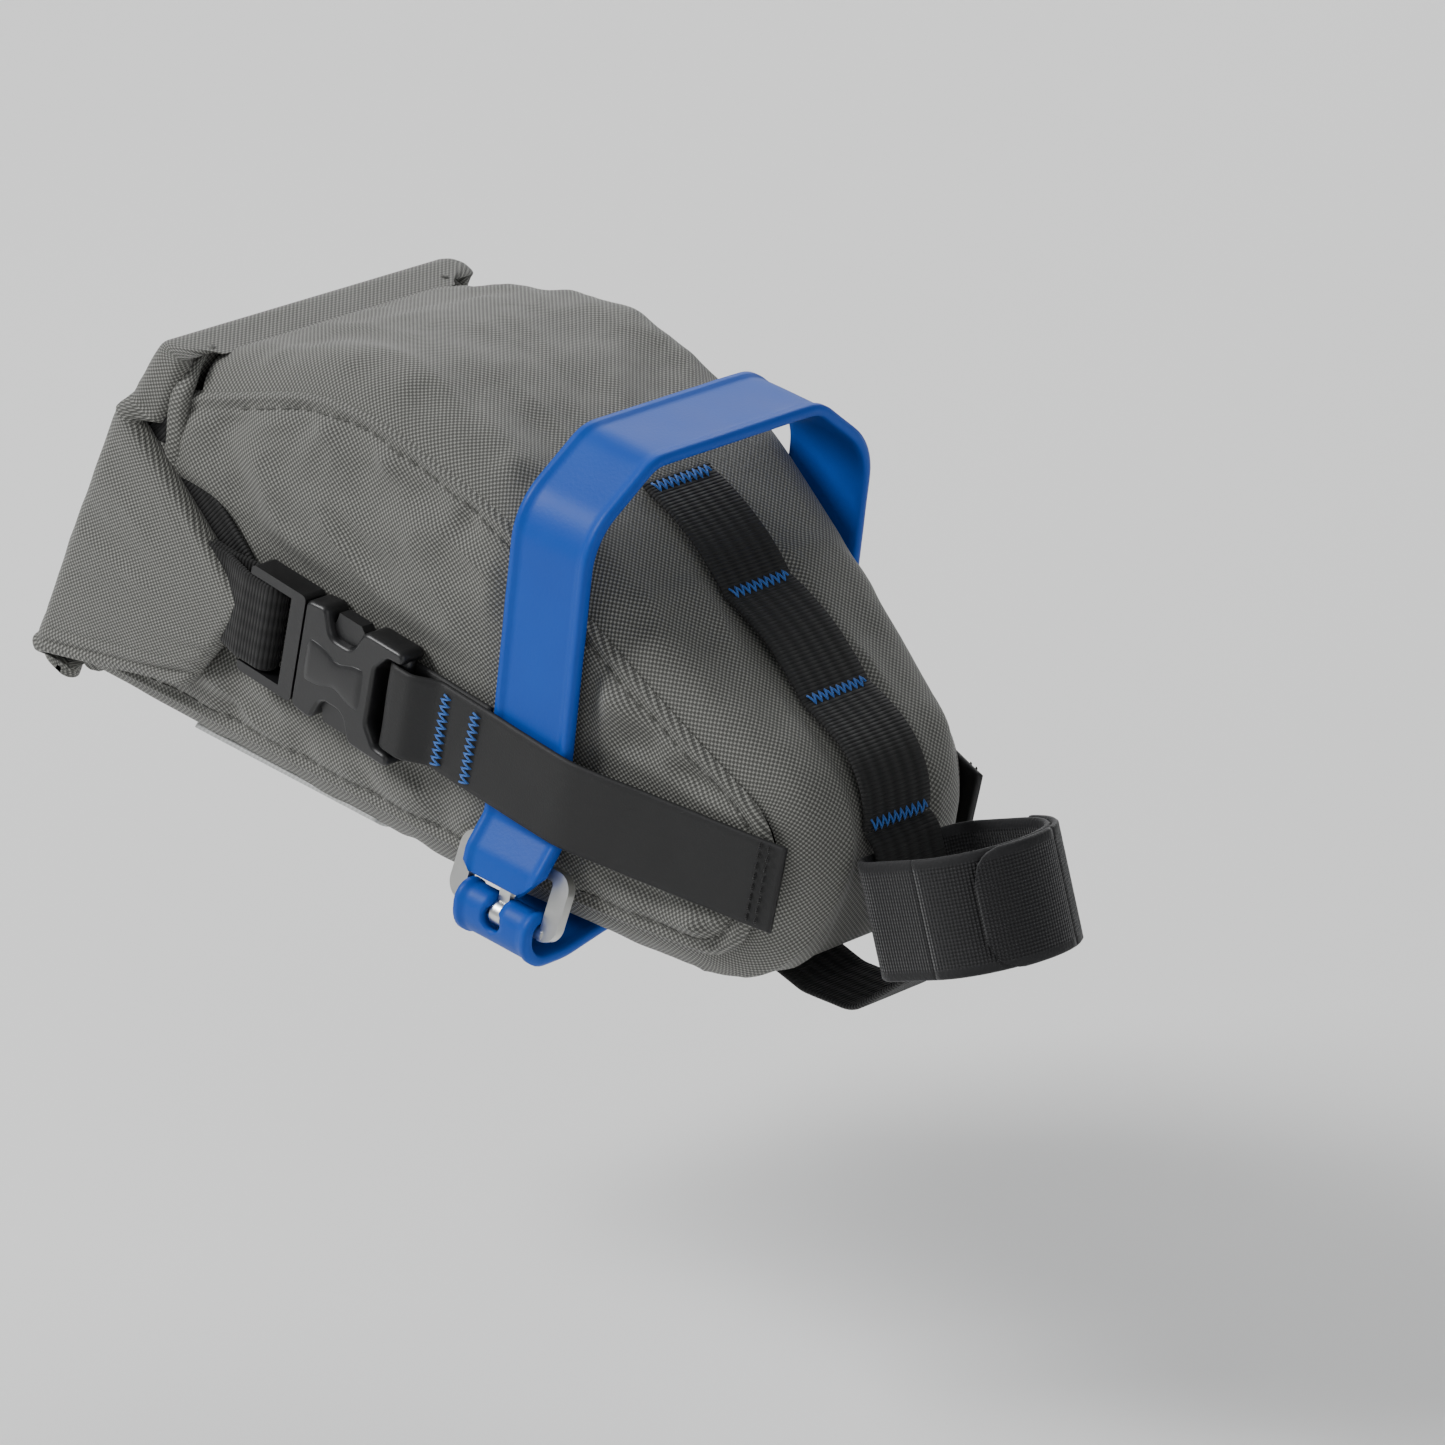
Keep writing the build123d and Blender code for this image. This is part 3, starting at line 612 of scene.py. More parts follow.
gusset = finish_piece(build_gusset(), "shell_fabric", replaces=("top_gusset", "front_gusset", "floor_gusset"))
for side, word in SIDES:
    seed = 11.0 if side < 0 else 31.0
    finish_piece(build_side(side, f"bag_side_{word}", seed), "shell_fabric",
                               replaces=(f"side_panel_{word}",))
    sewn = finish_piece(seam_stitches(side, f"seam_stitches_{word}", seed), "shell_fabric")
    sewn.data.materials[0] = GREY_THREAD

# ---------------- the roll and its folded ends
REAR_CORNERS = [MOUTH_BOTTOM, (-229.8, -26.2), (-232.8, -21.0), (-213.0, 43.0), (-203.8, 61.8),
                (-192.3, 60.5)]
EAR_MARKS = np.array([(-229.5, -20.0), (-184.0, -10.5), (-167.5, 14.0), (-206.5, 43.5)])
EAR_STOPS = [6.5, 13.5, 44.0, 72.5]     # where those lie along the mouth, from its lower end
EAR_OUT, BAND_OUT = 47.4, 44.0
LIP_RADIUS, CORNER_RADIUS = 2.6, 4.2
BACK_SLOPE = np.array([0.306, 0.952])   # up the back, as (x, z)


def roll_lines():
    """The outline of the roll's back, closer together at its edges, and the length along it."""
    line = rounded(REAR_CORNERS, [1.5, 3.0, 40.0, 3.2], 1.5)
    gaps = run_length(line)
    places = np.sort(np.concatenate([np.linspace(0, gaps[-1], 90), np.linspace(9, 30, 60),
                                     np.linspace(30, 85, 40)]))
    return np.stack([np.interp(places, gaps, line[:, k]) for k in (0, 1)], -1), places


def roll_row(rear):
    """The front end of one row of the roll's skin, with how much of it is ear."""
    mouth = np.array(MOUTH_TOP) - np.array(MOUTH_BOTTOM)
    t = np.clip(np.dot(rear - np.array(MOUTH_BOTTOM), mouth) / np.dot(mouth, mouth), 0, 1)
    plain = np.array(MOUTH_BOTTOM) + mouth * t
    at = t * MOUTH_LENGTH
    low, high = EAR_STOPS[0], EAR_STOPS[-1]
    if at <= low - 2 or at >= high + 2:
        return plain, 0.0
    share = float(smooth(low - 2, low + 0.5, at) * (1 - smooth(high - 1, high + 2, at)))
    tip = np.array([np.interp(at, EAR_STOPS, EAR_MARKS[:, k]) for k in (0, 1)])
    return plain * (1 - share) + tip * share, share


def roll_path(reach, out, lip):
    """Plan path (forward, y) of the right half, from inside the lip to the middle of the back."""
    inner = out - 2 * lip
    corner = min(CORNER_RADIUS, reach / 2.2)
    start, stop = (reach - lip - 1, corner + 0.5) if reach > 8 else (reach - lip, corner)
    path = [(reach - 6 * min(1, reach / 18), inner)]
    path += [(reach - lip + lip * sin(a), inner + lip - lip * cos(a)) for a in np.linspace(0, pi, 11)]
    path += [(f, out) for f in np.linspace(start, stop, 26)]
    path += [(corner - corner * sin(a), out - corner + corner * cos(a)) for a in np.linspace(0.1, pi / 2, 9)]
    path += [(0, y) for y in np.linspace(out - corner - 1, 0, 26)]
    return np.array(path)


def ear_bulge(x, z, f, reach, side):
    """How far the ear stands out: drawn to its tip, folded low down, flat under the webbing."""
    seed = 50.0 + side
    bearing = np.arctan2(z - 3, -168 - x)
    distance = np.hypot(x + 172, z - 3)
    pull = (0.9 * ripple(bearing * 5, distance / 40, seed)
            + 0.35 * ripple(bearing * 13, distance / 16, seed))
    slope = 0.21                 # of the ear's lower edge
    above_edge = (z - (-20 + (x + 229) * slope)) / cos(slope)
    fold = -0.8 * bell(above_edge - 3.4, 0.7) - 0.5 * bell(above_edge - 6.6, 0.6)
    by_web = 1 - (1 - smooth(9, 12, np.abs(closure_v(x, z)))) * smooth(-200, -190, x) * 0.7
    return 0.9 * np.sin(np.clip(f / max(reach, 1), 0, 1) * pi) + pull * by_web + fold


def back_push(at, y):
    """How far the band's back stands out: the edges of its layers, and waves."""
    layers = (0.55 * bell(at - 20, 2.2) - 0.6 * bell(at - 24, 0.9)
              + 0.5 * bell(at - 86, 2.5) - 0.6 * bell(at - 82, 0.9))
    flat = at + 0 * y
    wave = (1.2 * ripple(y / 16, flat / 26, 70.0) + 0.7 * creases(y / 30, flat / 18, 80.0)
            + 0.4 * ripple(y / 40, flat / 7, 90.0))
    return layers + wave * smooth(2, 10, at) * (1 - smooth(92, 100, at))


def build_roll():
    """One padded skin: lip, ear, corner, across the back, and the same again on the left."""
    lines, places = roll_lines()
    rows, uvs = [], []
    for rear, at in zip(lines, places):
        front, ear = roll_row(rear)
        reach = np.linalg.norm(front - rear)
        if reach < 0.01:
            reach, ahead = 0.01, unit(np.array([1.0, 0.3]))
        else:
            ahead = (front - rear) / reach
        out = BAND_OUT + (EAR_OUT - BAND_OUT) * ear - 20.0 * float(1 - smooth(0, 7, at)) * (1 - ear)
        out -= 9.0 * float(smooth(places[-1] - 9, places[-1], at))
        lip = min(LIP_RADIUS, reach / 3)
        path = roll_path(reach, out, lip)
        f, y = path[:, 0], path[:, 1]
        x = rear[0] + ahead[0] * f
        z = rear[1] + ahead[1] * f
        on_side = smooth(out - lip, out - 0.6, y) * smooth(0, 5, f)
        back = (1 - smooth(0.5, 5, f)) * (1 - smooth(out - 5, out, y))
        raised = 10.0 * smooth(8, 34, y) * (1 - smooth(0, 13, at)) * (1 - ear * 0.7)
        across = run_length(path)[-1] - run_length(path)
        halves, half_uvs = [], []
        for side, word in SIDES:
            wide = y + np.minimum(on_side * ear * ear_bulge(x, z, f, reach, side), 1.6)
            push = back * back_push(at, side * y)
            halves.append(xyz(x - ahead[0] * push + BACK_SLOPE[0] * raised, side * wide,
                              z - ahead[1] * push + BACK_SLOPE[1] * raised))
            half_uvs.append(xyz(side * across, at))
        rows.append(np.concatenate([halves[0], halves[1][-2::-1]]))
        uvs.append(np.concatenate([half_uvs[0], half_uvs[1][-2::-1]]))
    obj = skin("roll_and_ears", rows, uvs)
    fix_normals(obj)
    return obj


roll = finish_piece(build_roll(), "shell_fabric",
                    replaces=("roll_band", "ear_right", "ear_left", "rear_panel"))


def build_mouth():
    """The fabric across the mouth, behind the roll."""
    rows = []
    for t in np.linspace(0.005, 0.995, 60):
        x, z = np.array(MOUTH_BOTTOM) + (np.array(MOUTH_TOP) - np.array(MOUTH_BOTTOM)) * t
        half = float(inset_y(x, min(t, 1 - t) * MOUTH_LENGTH * 0.93)) + 1.0
        y = np.linspace(-half, half, 24)
        rows.append(xyz(x - 0.8, y, z + 0.3 * np.cos(y / 6)))
    rows = np.array(rows)
    return skin("mouth_fabric", rows, rows[..., 1:])


finish_piece(build_mouth(), "shell_fabric")


def build_tuck(side, word):
    """The gusset's fold at the top corner of the mouth: a flat tuck that fades into the side."""
    heights = np.linspace(22, 61.0, 30)
    rings, uvs = [], []
    for k, z in enumerate(heights):
        t = k / (len(heights) - 1)
        size = 0.3 + 0.7 * smooth(0, 0.4, t) * (1 - 0.75 * smooth(0.8, 1, t))
        x = -196.3 - 1.2 * (1 - t) + 0.8 * ripple(t * 4, 0.0, 3.0 + side)
        y = float(inset_y(x, 62 - z)) + 0.9
        turn = circle(16)
        wide, deep = 2.6 * size, 1.7 * size
        power = np.abs(np.cos(turn)) ** 0.7 * np.sign(np.cos(turn))
        rings.append(xyz(x + wide * power, side * (y + deep * np.sin(turn)), z))
        uvs.append(xyz(turn * 2.2, z))
    return tube(f"tuck_{word}", rings, uvs, bag)


for side, word in SIDES:
    finish_piece(build_tuck(side, word), "shell_fabric", replaces=(f"tuck_fold_{word}",))


# ---------------- straps
def round_bar(u, turn, ahead):
    """Corners and radii of webbing that goes round a bar at u and comes back."""
    reach = BAR_RADIUS + 0.2 + WEB_THICKNESS / 2
    bar_w = BUCKLE_THICKNESS / 2
    end = u + turn * reach
    return ([(u - turn * ahead, bar_w - reach), (end, bar_w - reach), (end, bar_w + reach),
             (u - turn * ahead, bar_w + reach)], [4.0, reach - 0.01, reach - 0.01, 4.0])


def bar_tack(name, centre, across, along, up, half, width=1.3, pitch=1.7, radius=0.24):
    """A dense zigzag of thread across a strap, in the row's frame."""
    count = int(2 * half / pitch * 2)
    points = [centre + (across * (-half + 2 * half * k / count) + along * (width if k % 2 else -width)) / 1000
              for k in range(count + 1)]
    fine = []
    for a, b in zip(points[:-1], points[1:]):
        for t in (0.0, 0.33, 0.67):
            fine.append(a + (b - a) * t + up * (0.35 * sin(pi * t)) / 1000)
    fine = np.array(fine)
    wide = np.cross(unit(np.gradient(fine, axis=0)), up)
    turn = circle(6)
    rings = (fine[:, None] + (wide[:, None] * np.cos(turn)[None, :, None]
                              + up * np.sin(turn)[None, :, None]) * radius / 1000)
    step = np.arange(len(fine)) * 0.5
    uvs = xyz(step[:, None], turn[None, :] * 0.3)
    return tube(name, rings, uvs, lambda p: p)


def wing_flat():
    """Distance of the wing strap's middle from the closure's face, where it lies on the rail strap."""
    strap_out = float(side_y(STRAP_X - STRAP_WIDTH / 2)) + CLEARANCE + STRAP_THICKNESS
    return strap_out + CLEARANCE + 0.15 + WEB_THICKNESS / 2 - HALF_WIDTH - BUCKLE_GAP


def closure_u(x):
    """The closure's own length at x."""
    return (x - MOUTH_X) / cos(CLOSURE_DROP)


def build_closure(side, word):
    """Webbing, wing strap, bar tacks and the stitches at the strap's sewn end."""
    def place(points):
        return closure(points, side)

    corners, radii = round_bar(LADDER_BAR_U, 1, 6.0)
    middle, layer = BUCKLE_THICKNESS / 2 - 0.4, WEB_THICKNESS / 2 + 0.05
    line = rounded([(LADDER_BAR_U - 26, middle - layer), (LADDER_BAR_U - 14, middle - layer), *corners,
                    (LADDER_BAR_U - 14, middle + layer), (LADDER_BAR_U - 26, middle + layer)],
                   [4.0] + radii + [4.0], 0.7)
    section = strap_section(WEB_WIDTH, WEB_THICKNESS)
    web = strap(f"ear_webbing_{word}", upright(line), SIDEWAYS, section, place, 0.12, 4.0 + side)
    finish_piece(web, "black_webbing", replaces=(f"webbing_{word}",))

    flat = wing_flat()
    corners, radii = round_bar(SOCKET_BAR_U, -1, 4.0)
    under = flat - WEB_THICKNESS - 0.05
    front = STRAP_X + STRAP_WIDTH / 2 + 1.0
    wing_end = -28.6
    end_w = float(side_y(wing_end, CLEARANCE + WEB_THICKNESS / 2)) - HALF_WIDTH - BUCKLE_GAP
    line = rounded([(closure_u(-100.5), under), (SOCKET_BAR_U + 9, under), *corners,
                    (closure_u(-113.5), flat), (closure_u(front), flat), (closure_u(wing_end), end_w)],
                   [6.0] + radii[:3] + [3.0, 4.0, 20.0], 0.8)
    wing = strap(f"wing_{word}", upright(line), SIDEWAYS, section, place, 0.22, 14.0 + side)
    finish_piece(wing, "black_laminate", replaces=(f"wing_strap_{word}",), ride=False)
    start = tuple(place([SOCKET_BAR_U + 3, 0, 3]))
    end = tuple(place([closure_u(-36.0), 0, 3]))
    across = (place(SIDEWAYS) - place(0 * SIDEWAYS)) * 1000
    along = (place(AHEAD) - place(0 * AHEAD)) * 1000
    up = side * SIDEWAYS
    tacks = []
    for k, x in enumerate((-111.0, -102.5)):
        centre = place([closure_u(x), 0, flat + WEB_THICKNESS / 2 + 0.15])
        tack = bar_tack(f"wing_tack_{word}_{k}", centre, across, along, up, 8.6)
        tacks.append(finish_piece(tack, "blue_thread", ride=False))
    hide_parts(f"wing_bar_tacks_{word}")
    starts, ends = [], []
    for x in (-31.4, -33.4):
        w = float(side_y(x, CLEARANCE + WEB_THICKNESS)) - HALF_WIDTH - BUCKLE_GAP + 0.5
        for v in np.arange(-8.8, 8.6, 2.4):
            starts.append(place([closure_u(x), v, w]))
            ends.append(place([closure_u(x), v + 1.8, w]))
    sewn = stitches(f"wing_end_stitches_{word}", starts, ends, [up] * len(starts))
    finish_piece(sewn, "black_webbing")
    for piece in [wing] + tacks:
        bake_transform(piece)


for side, word in SIDES:
    build_closure(side, word)


def at_strap(line):
    """(y, z) points to the bag's frame at the rail strap."""
    return xyz(STRAP_X, line[:, 0], line[:, 1])


def build_rail_strap():
    """The moulded strap: round the bar, under the bag, up the left, over the rails and down the right."""
    fold = FRAME_BAR_RADIUS + 0.25 + STRAP_THICKNESS / 2
    beside = float(side_y(STRAP_X - STRAP_WIDTH / 2)) + CLEARANCE + STRAP_THICKNESS / 2
    over_z = RAIL_Z + RAIL_RADIUS + STRAP_THICKNESS / 2 + 0.2
    over_y = RAIL_HALF_SPACING + 2.6
    under = FLOOR_Z - CLEARANCE - STRAP_THICKNESS / 2
    hang, leave, top_fold = under - 3.0, RAIL_Z - 8.0, FRAME_BAR_Z + fold
    line = rounded(
        [(-FRAME_BAR_Y + fold, FRAME_BAR_Z - 3.0), (-FRAME_BAR_Y + fold, top_fold),
         (-FRAME_BAR_Y - fold, top_fold), (-FRAME_BAR_Y - fold, hang), (-36.0, hang), (-24.0, under),
         (beside, under), (beside, leave), (over_y, over_z), (-over_y, over_z), (-beside, leave),
         (-beside, 6.0)],
        [fold - 0.01, fold - 0.01, 5.5, 20.0, 20.0, 14.0, 14.0, 9.0, 9.0, 14.0])
    section = strap_section(STRAP_WIDTH, STRAP_THICKNESS - 0.3, 0.45, 1.8)
    body = strap("rail_strap_moulded", at_strap(line), AHEAD, section, bag, 0.1, 2.0)
    turn = circle(32)
    slot = xyz(np.clip(2.9 * np.cos(turn) * 1.3, -1.75, 1.75), 5.6 * np.sin(turn) + 4.0)
    hole = xyz(2.8 * np.cos(turn), 2.8 * np.sin(turn) - 0.4)
    for shape, near, deep in ((slot, -7.0, 6.5), (hole, -7.0, -1.0)):
        rings = [at_strap(xyz(y - FRAME_BAR_Y, FRAME_BAR_Z + shape[:, 1]))
                 + shape[:, :1] * AHEAD for y in (near, deep)]
        cutter = tube("slot_cutter", rings, np.zeros((2, 32, 2)), bag)
        cut = body.modifiers.new("slot", "BOOLEAN")
        cut.operation, cut.object, cut.solver = "DIFFERENCE", cutter, "EXACT"
        apply_modifiers(body)
        bpy.data.objects.remove(cutter)
    finish_piece(body, "blue_strap", replaces=("rail_strap",))

    lean = FRAME_TOP_Y + 1.1 + 1.5 + 2 * CLEARANCE + STRAP_THICKNESS / 2
    line = rounded([(-beside, 6.0), (-beside, -6.0), (-lean, FRAME_TOP_Z), (-lean - 0.8, -17.5)],
                   [4.0, 4.0], 0.5)
    tail = strap("rail_strap_end", at_strap(line), AHEAD, section, bag)
    bevel_end(tail, line)
    finish_piece(tail, "blue_strap", replaces=("rail_strap_tail",), ride=False)
    start = tuple(bag([STRAP_X, -beside, -3.0]))
    end = tuple(bag([STRAP_X, -lean, -12.0]))
    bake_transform(tail)


def bevel_end(obj, line, cut=4.0):
    """Narrows the end of the tail to its cut corners."""
    low = bag(np.array([STRAP_X, line[-1, 0], line[-1, 1]]))
    for vert in obj.data.vertices:
        height = (vert.co.z - low[2]) * 1000
        side = (vert.co.x - bag(np.array([STRAP_X, line[-1, 0], line[-1, 1] + height]))[0]) * 1000
        limit = STRAP_WIDTH / 2 - max(0.0, cut - height)
        if abs(side) > limit:
            vert.co.x -= (abs(side) - limit) / 1000 * (1 if side > 0 else -1)


def apply_modifiers(obj):
    """Bakes an object's modifiers into its mesh."""
    deps = bpy.context.evaluated_depsgraph_get()
    mesh = bpy.data.meshes.new_from_object(obj.evaluated_get(deps))
    obj.modifiers.clear()
    obj.data = mesh


build_rail_strap()


# ---------------- the strip on the nose and the loop below it
def lid_point(along, out):
    """Points above the outline, at lengths along it."""
    base, normal = (xyz(*[np.interp(along, LENGTH, line[:, k]) for k in (0, 1)]) for line in (LINE, OUT))
    return base + normal * np.asarray(out)[..., None]


TACK_PITCH = 28.0
TACKS_AT = [107.0 + TACK_PITCH * k for k in range(4)]
NOSE_SECTION = strap_section(DAISY_WIDTH, DAISY_THICKNESS)


def build_daisy():
    """The strip sewn down the nose, slack between its tacks."""
    tack_out = 1.75
    along = np.linspace(TACKS_AT[0] - 2.0, TACKS_AT[-1] + 1.0, 130)
    phase = np.clip((along - TACKS_AT[0]) / TACK_PITCH, 0, 3)
    slack = 1.9 * np.abs(np.sin(phase * pi)) ** 0.8
    line = lid_point(along, CLEARANCE + DAISY_THICKNESS / 2 + slack)
    obj = strap("nose_webbing", upright(line), SIDEWAYS, NOSE_SECTION, bag, 0.12, 6.0)
    finish_piece(obj, "black_webbing", replaces=("daisy_strip",))
    for k, s in enumerate(TACKS_AT):
        low, centre, high = bag(upright(lid_point(np.array([s - 0.5, s, s + 0.5]), np.full(3, tack_out))))
        along_unit = unit(high - low)
        up = np.cross(along_unit, SIDEWAYS)
        up = up if up[2] > 0 or up[0] > 0 else -up
        tack = bar_tack(f"nose_tack_{k}", centre, SIDEWAYS, along_unit, up, 8.4)
        finish_piece(tack, "blue_thread", replaces=("daisy_bar_tacks",) if k == 0 else ())


def to_bag(x, z):
    """(x, z) of the seatpost's frame in the bag's frame."""
    lean = POST_LEAN + BAG_TILT
    return (x * cos(lean) - z * sin(lean) - BAG_DROP * sin(BAG_TILT),
            x * sin(lean) + z * cos(lean) + BAG_DROP * cos(BAG_TILT))


def build_base_loop():
    """The loop from the strip's end, down behind the seatpost strap and back under the floor."""
    last = lid_point(TACKS_AT[-1], CLEARANCE + DAISY_THICKNESS / 2)
    gap = -POST_RADIUS - DAISY_THICKNESS / 2 - CLEARANCE
    reach = POST_WIDTH / 2 + 1.5
    line = rounded([(last[0] + 0.6, last[1] - 1.6), to_bag(gap, reach), to_bag(gap, -reach), (-22.0, -29.5),
                    (-36.0, FLOOR_Z - 3.6), (-49.0, FLOOR_Z - CLEARANCE - DAISY_THICKNESS / 2)],
                   [1.5, 3.0, 9.0, 8.0], 0.8)
    obj = strap("lower_loop", upright(line), SIDEWAYS, NOSE_SECTION, bag, 0.12, 8.0)
    finish_piece(obj, "black_webbing", replaces=("base_loop",))


build_daisy()
build_base_loop()


# ---------------- the seatpost strap
TAIL_END, TAIL_ROOT, OVERLAP_END = -47.0, 20.0, 86.0     # degrees round the post


def arc(radius, start, end, step=1.2):
    """Points round the post, from start to end in degrees."""
    count = max(3, int(abs(end - start) * radius / RADIAN / step))
    a = np.radians(np.linspace(start, end, count))
    return xyz(radius * np.cos(a), radius * np.sin(a), 0.0)


def build_post_strap():
    """The strap round the post and the loop, its overlap, and the tail that peels."""
    middle = POST_RADIUS + POST_THICKNESS / 2
    back = -POST_RADIUS - DAISY_THICKNESS - 2 * CLEARANCE - POST_THICKNESS / 2
    rest = rounded([(0, middle), (back, middle), (back, -middle), (0, -middle)], [6.0, 6.0])
    line = np.concatenate([arc(middle, -90, 90)[:-1], np.insert(rest, 2, 0, axis=1)[:-1]])
    layer = POST_RADIUS + POST_THICKNESS + 0.1 + TAIL_LAYER / 2
    for name, centres, thickness, body, node in (
            ("post_wrap", np.concatenate([line, line[:1]]), POST_THICKNESS, "bag", "post_strap"),
            ("post_wrap_outer", arc(layer, TAIL_ROOT, OVERLAP_END), TAIL_LAYER, "bag", "post_strap_overlap"),
            ("post_wrap_tail", arc(layer, TAIL_END, TAIL_ROOT), TAIL_LAYER, "post_tail", "post_strap_tail")):
        obj = strap(name, centres, RISE, strap_section(POST_WIDTH, thickness - 0.1), post)
        if node == "post_strap_tail":
            round_tail(obj, layer)
        finish_piece(obj, "hook_and_loop", body=body, replaces=(node,))


def round_tail(obj, layer, corner=7.0):
    """Rounds the corners of the tail's free end."""
    for vert in obj.data.vertices:
        x, y, z = (c * 1000 for c in vert.co)
        px = x * cos(POST_LEAN) + z * sin(POST_LEAN)
        pz = -x * sin(POST_LEAN) + z * cos(POST_LEAN)
        run = (degrees(atan2(y, px)) - TAIL_END) * layer / RADIAN
        if run < corner:
            limit = POST_WIDTH / 2 - corner + sqrt(max(0.0, corner ** 2 - (corner - max(run, 0)) ** 2))
            if abs(pz) > limit:
                pz = limit if pz > 0 else -limit
                vert.co = Vector(post([px, y, pz]))


build_post_strap()


# ---------------- reflective strips and hard parts
def build_strip(side, word):
    """Tape laid on the rounded lower edge of the floor."""
    turns = np.radians(np.linspace(6, 42, 10))
    rings, uvs = [], []
    for x in np.linspace(-189, -134, 56):
        rows = []
        for reach in (EDGE + 0.75, EDGE - 0.4):
            order = turns if reach > EDGE else turns[::-1]
            rows.append(xyz(x, side * (HALF_WIDTH - EDGE + reach * np.sin(order)),
                            FLOOR_Z + EDGE - reach * np.cos(order)))
        rings.append(np.concatenate(rows))
        uvs.append(xyz(x, np.concatenate([turns, turns[::-1]]) * EDGE))
    obj = tube(f"reflective_tape_{word}", rings, uvs, bag)
    finish_piece(obj, "reflective_tape", replaces=(f"reflective_strip_{word}",))


SOCKET = [(0.0, 0.0), (0.0, 12.6), (5.8, 13.3), (8.2, 7.4), (14.6, 7.4), (17.2, 13.3), (29.0, 13.5),
          (29.0, 10.7), (24.6, 10.4), (21.6, 6.6), (21.6, 0.0)]
SOCKET_RADII = [1.6, 1.4, 2.6, 3.0, 2.2, 1.3, 1.2, 1.2, 1.6]
SOCKET_LEVELS = [(0.0, -0.75), (0.3, -0.3), (0.9, 0.0), (6.1, 0.0), (6.7, -0.3), (7.0, -0.75)]


def build_socket(side, word):
    """The socket, drawn in at the waist between its mouth and its fork, with the strap's bar."""
    def place(points):
        return closure(points, side)

    half = rounded(SOCKET, SOCKET_RADII, 0.9)
    face = np.concatenate([half, half[-2:0:-1] * [1, -1]])
    tangent = unit(np.roll(face, -1, axis=0) - np.roll(face, 1, axis=0))
    outward = xyz(-tangent[:, 1], tangent[:, 0])
    rings = [np.insert(face + outward * grow, 2, w, axis=1) for w, grow in SOCKET_LEVELS]
    body = tube(f"socket_{word}_moulded", rings, [face] * len(rings), place)
    for polygon in body.data.polygons:
        polygon.use_smooth = len(polygon.vertices) == 4
    turn = circle(16)
    bar_middle = BUCKLE_THICKNESS / 2
    rings = [xyz(SOCKET_BAR_U + BAR_RADIUS * np.cos(turn), v,
                 bar_middle + BAR_RADIUS * np.sin(turn)) for v in np.linspace(-11.4, 11.4, 12)]
    bar = tube(f"socket_{word}_bar", rings, np.zeros((12, 16, 2)), place)
    rings = []
    for u in np.linspace(2.0, 19.5, 30):
        wide = 5.0 - 1.8 * bell(u - 11.4, 3.5)
        height = 0.5 * smooth(2.0, 3.6, u) * (1 - smooth(17.9, 19.5, u))
        rings.append(xyz(u, wide * np.cos(turn), 6.9 + height * np.sin(turn)))
    ridge = tube(f"socket_{word}_ridge", rings, np.zeros((30, 16, 2)), place)
    for piece in (body, bar, ridge):
        finish_piece(piece, "buckle_plastic", body=f"socket_{word}")
    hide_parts(f"buckle_socket_{word}")


def build_shadow_gap_strip(side, word):
    """Painted shade: a dark strip along the ear's upper fold that stands for the shadow in the gap between
    the ear and the side, drawn in the black webbing.
    """
    line = even(np.array([(-203.0, 43.5), (-190.0, 33.8), (-176.0, 22.8), (-166.5, 14.5)]), 1.0)
    centres = xyz(line[:, 0], side * (inset_y(line[:, 0], EDGE) + 1.0), line[:, 1])
    along = unit(np.array([36.5, 0, -29.0]))
    across = np.array([-along[2], 0, along[0]])
    # painted shade: this black strip fills the gap under the ear's upper fold, where there is only shadow
    obj = strap(f"ear_shadow_gap_{word}", centres - across * 1.2, across, strap_section(9.0, 1.3), bag, 0.1, 21.0)
    finish_piece(obj, "black_webbing")


def dress(node, slot, bevel=0.0):
    """A CAD node that stays: its material, and softened edges."""
    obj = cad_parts[node]
    obj.data.materials.clear()
    obj.data.materials.append(MATERIALS[slot])
    if bevel:
        soft = obj.modifiers.new("edges", "BEVEL")
        soft.width, soft.segments, soft.limit_method, soft.angle_limit = bevel / 1000, 3, "ANGLE", radians(35)
        soft.harden_normals = True


for side, word in SIDES:
    build_strip(side, word)
    build_socket(side, word)
    build_shadow_gap_strip(side, word)
    for node, bevel in (("buckle_ladder", 0.9), ("latch_arm_upper", 0.7), ("latch_arm_lower", 0.7)):
        dress(f"{node}_{word}", "buckle_plastic", bevel)
dress("strap_buckle_frame", "buckle_metal", 0.35)
dress("strap_buckle_prong", "buckle_metal", 0.3)
dress("base_stiffener", "buckle_plastic")
dress("roll_stiffener", "buckle_plastic")


# ---------------- floor, light and camera
def pale(name, colour, roughness):
    """A plain matt surface, faintly uneven."""
    s = Shader(name, roughness)
    grain = s.noise(3.0, 3.0)
    s.colour(s.mix(grain, colour, tuple(0.96 * c for c in colour)))
    return s.material


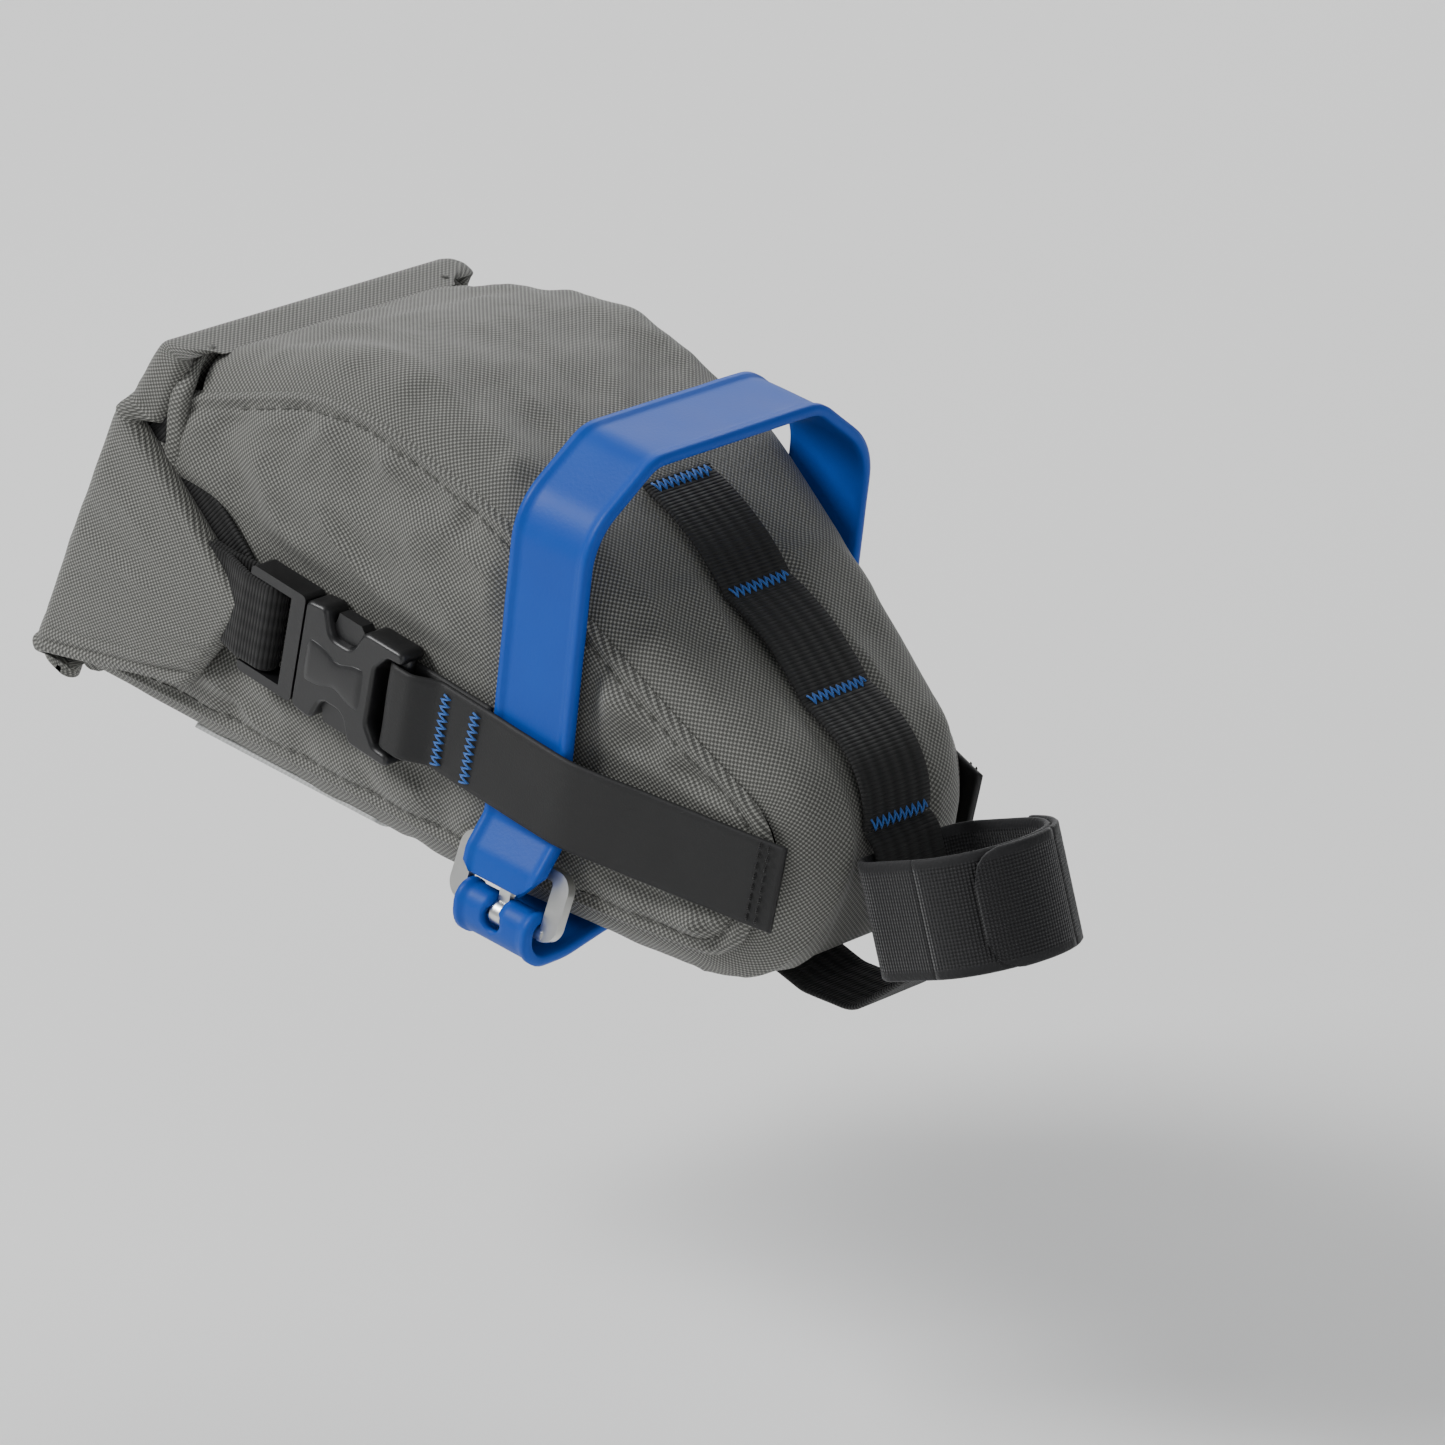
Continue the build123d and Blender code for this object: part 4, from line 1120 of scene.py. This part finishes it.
def build_stage():
    """A floor that curves up into a wall behind the bag."""
    profile = [(4.0, 0.0)] + [(-1.2 - 0.8 * sin(a), 0.8 - 0.8 * cos(a)) for a in np.linspace(0, pi / 2, 14)]
    profile.append((-2.0, 4.0))
    turn = radians(133)
    towards = np.array([cos(turn), sin(turn)]) * -1
    aside = np.array([-towards[1], towards[0]])
    verts = []
    for back, height in profile:
        for side in (-5.0, 5.0):
            xy = towards * back + aside * side
            verts.append((xy[0], xy[1], height - 0.13))
    floor = mesh_object("floor", verts, grid_faces(len(profile), 2))
    floor.data.materials.append(pale("pale_floor", (0.9, 0.9, 0.89), 0.7))


def area_light(name, place, target, size, power):
    """A square white light aimed at a point."""
    light = bpy.data.lights.new(name, "AREA")
    light.shape, light.size, light.energy, light.color = "SQUARE", size, power, (1, 1, 1)
    obj = bpy.data.objects.new(name, light)
    obj.location = place
    obj.rotation_euler = (Vector(target) - Vector(place)).to_track_quat("-Z", "Y").to_euler()
    bpy.context.scene.collection.objects.link(obj)


def build_camera():
    """A long lens from the right and front, a little above."""
    target = Vector((-0.0463, -0.0266, 0.0334))
    azimuth, elevation, reach = radians(43), radians(20), 1.622
    data = bpy.data.cameras.new("camera")
    data.lens, data.sensor_width, data.clip_end = 200, 36, 50
    camera = bpy.data.objects.new("camera", data)
    camera.location = target + reach * Vector((sin(azimuth) * cos(elevation), -cos(azimuth) * cos(elevation),
                                               sin(elevation)))
    camera.rotation_euler = (target - camera.location).to_track_quat("-Z", "Y").to_euler()
    bpy.context.scene.collection.objects.link(camera)
    bpy.context.scene.camera = camera


build_stage()
world = bpy.data.worlds.new("studio")
world.use_nodes = True
sky = world.node_tree.nodes["Background"].inputs
sky["Color"].default_value = (0.92, 0.94, 0.97, 1)
sky["Strength"].default_value = 0.38
bpy.context.scene.world = world
area_light("key", (-1.0, -1.0, 1.3), (-0.1, 0, 0.03), 0.6, 32)
area_light("fill", (1.6, -0.6, 0.6), (-0.05, 0, 0.02), 1.2, 7)
area_light("rim", (-0.9, 1.3, 1.2), (-0.1, 0, 0.03), 1.2, 14)
build_camera()
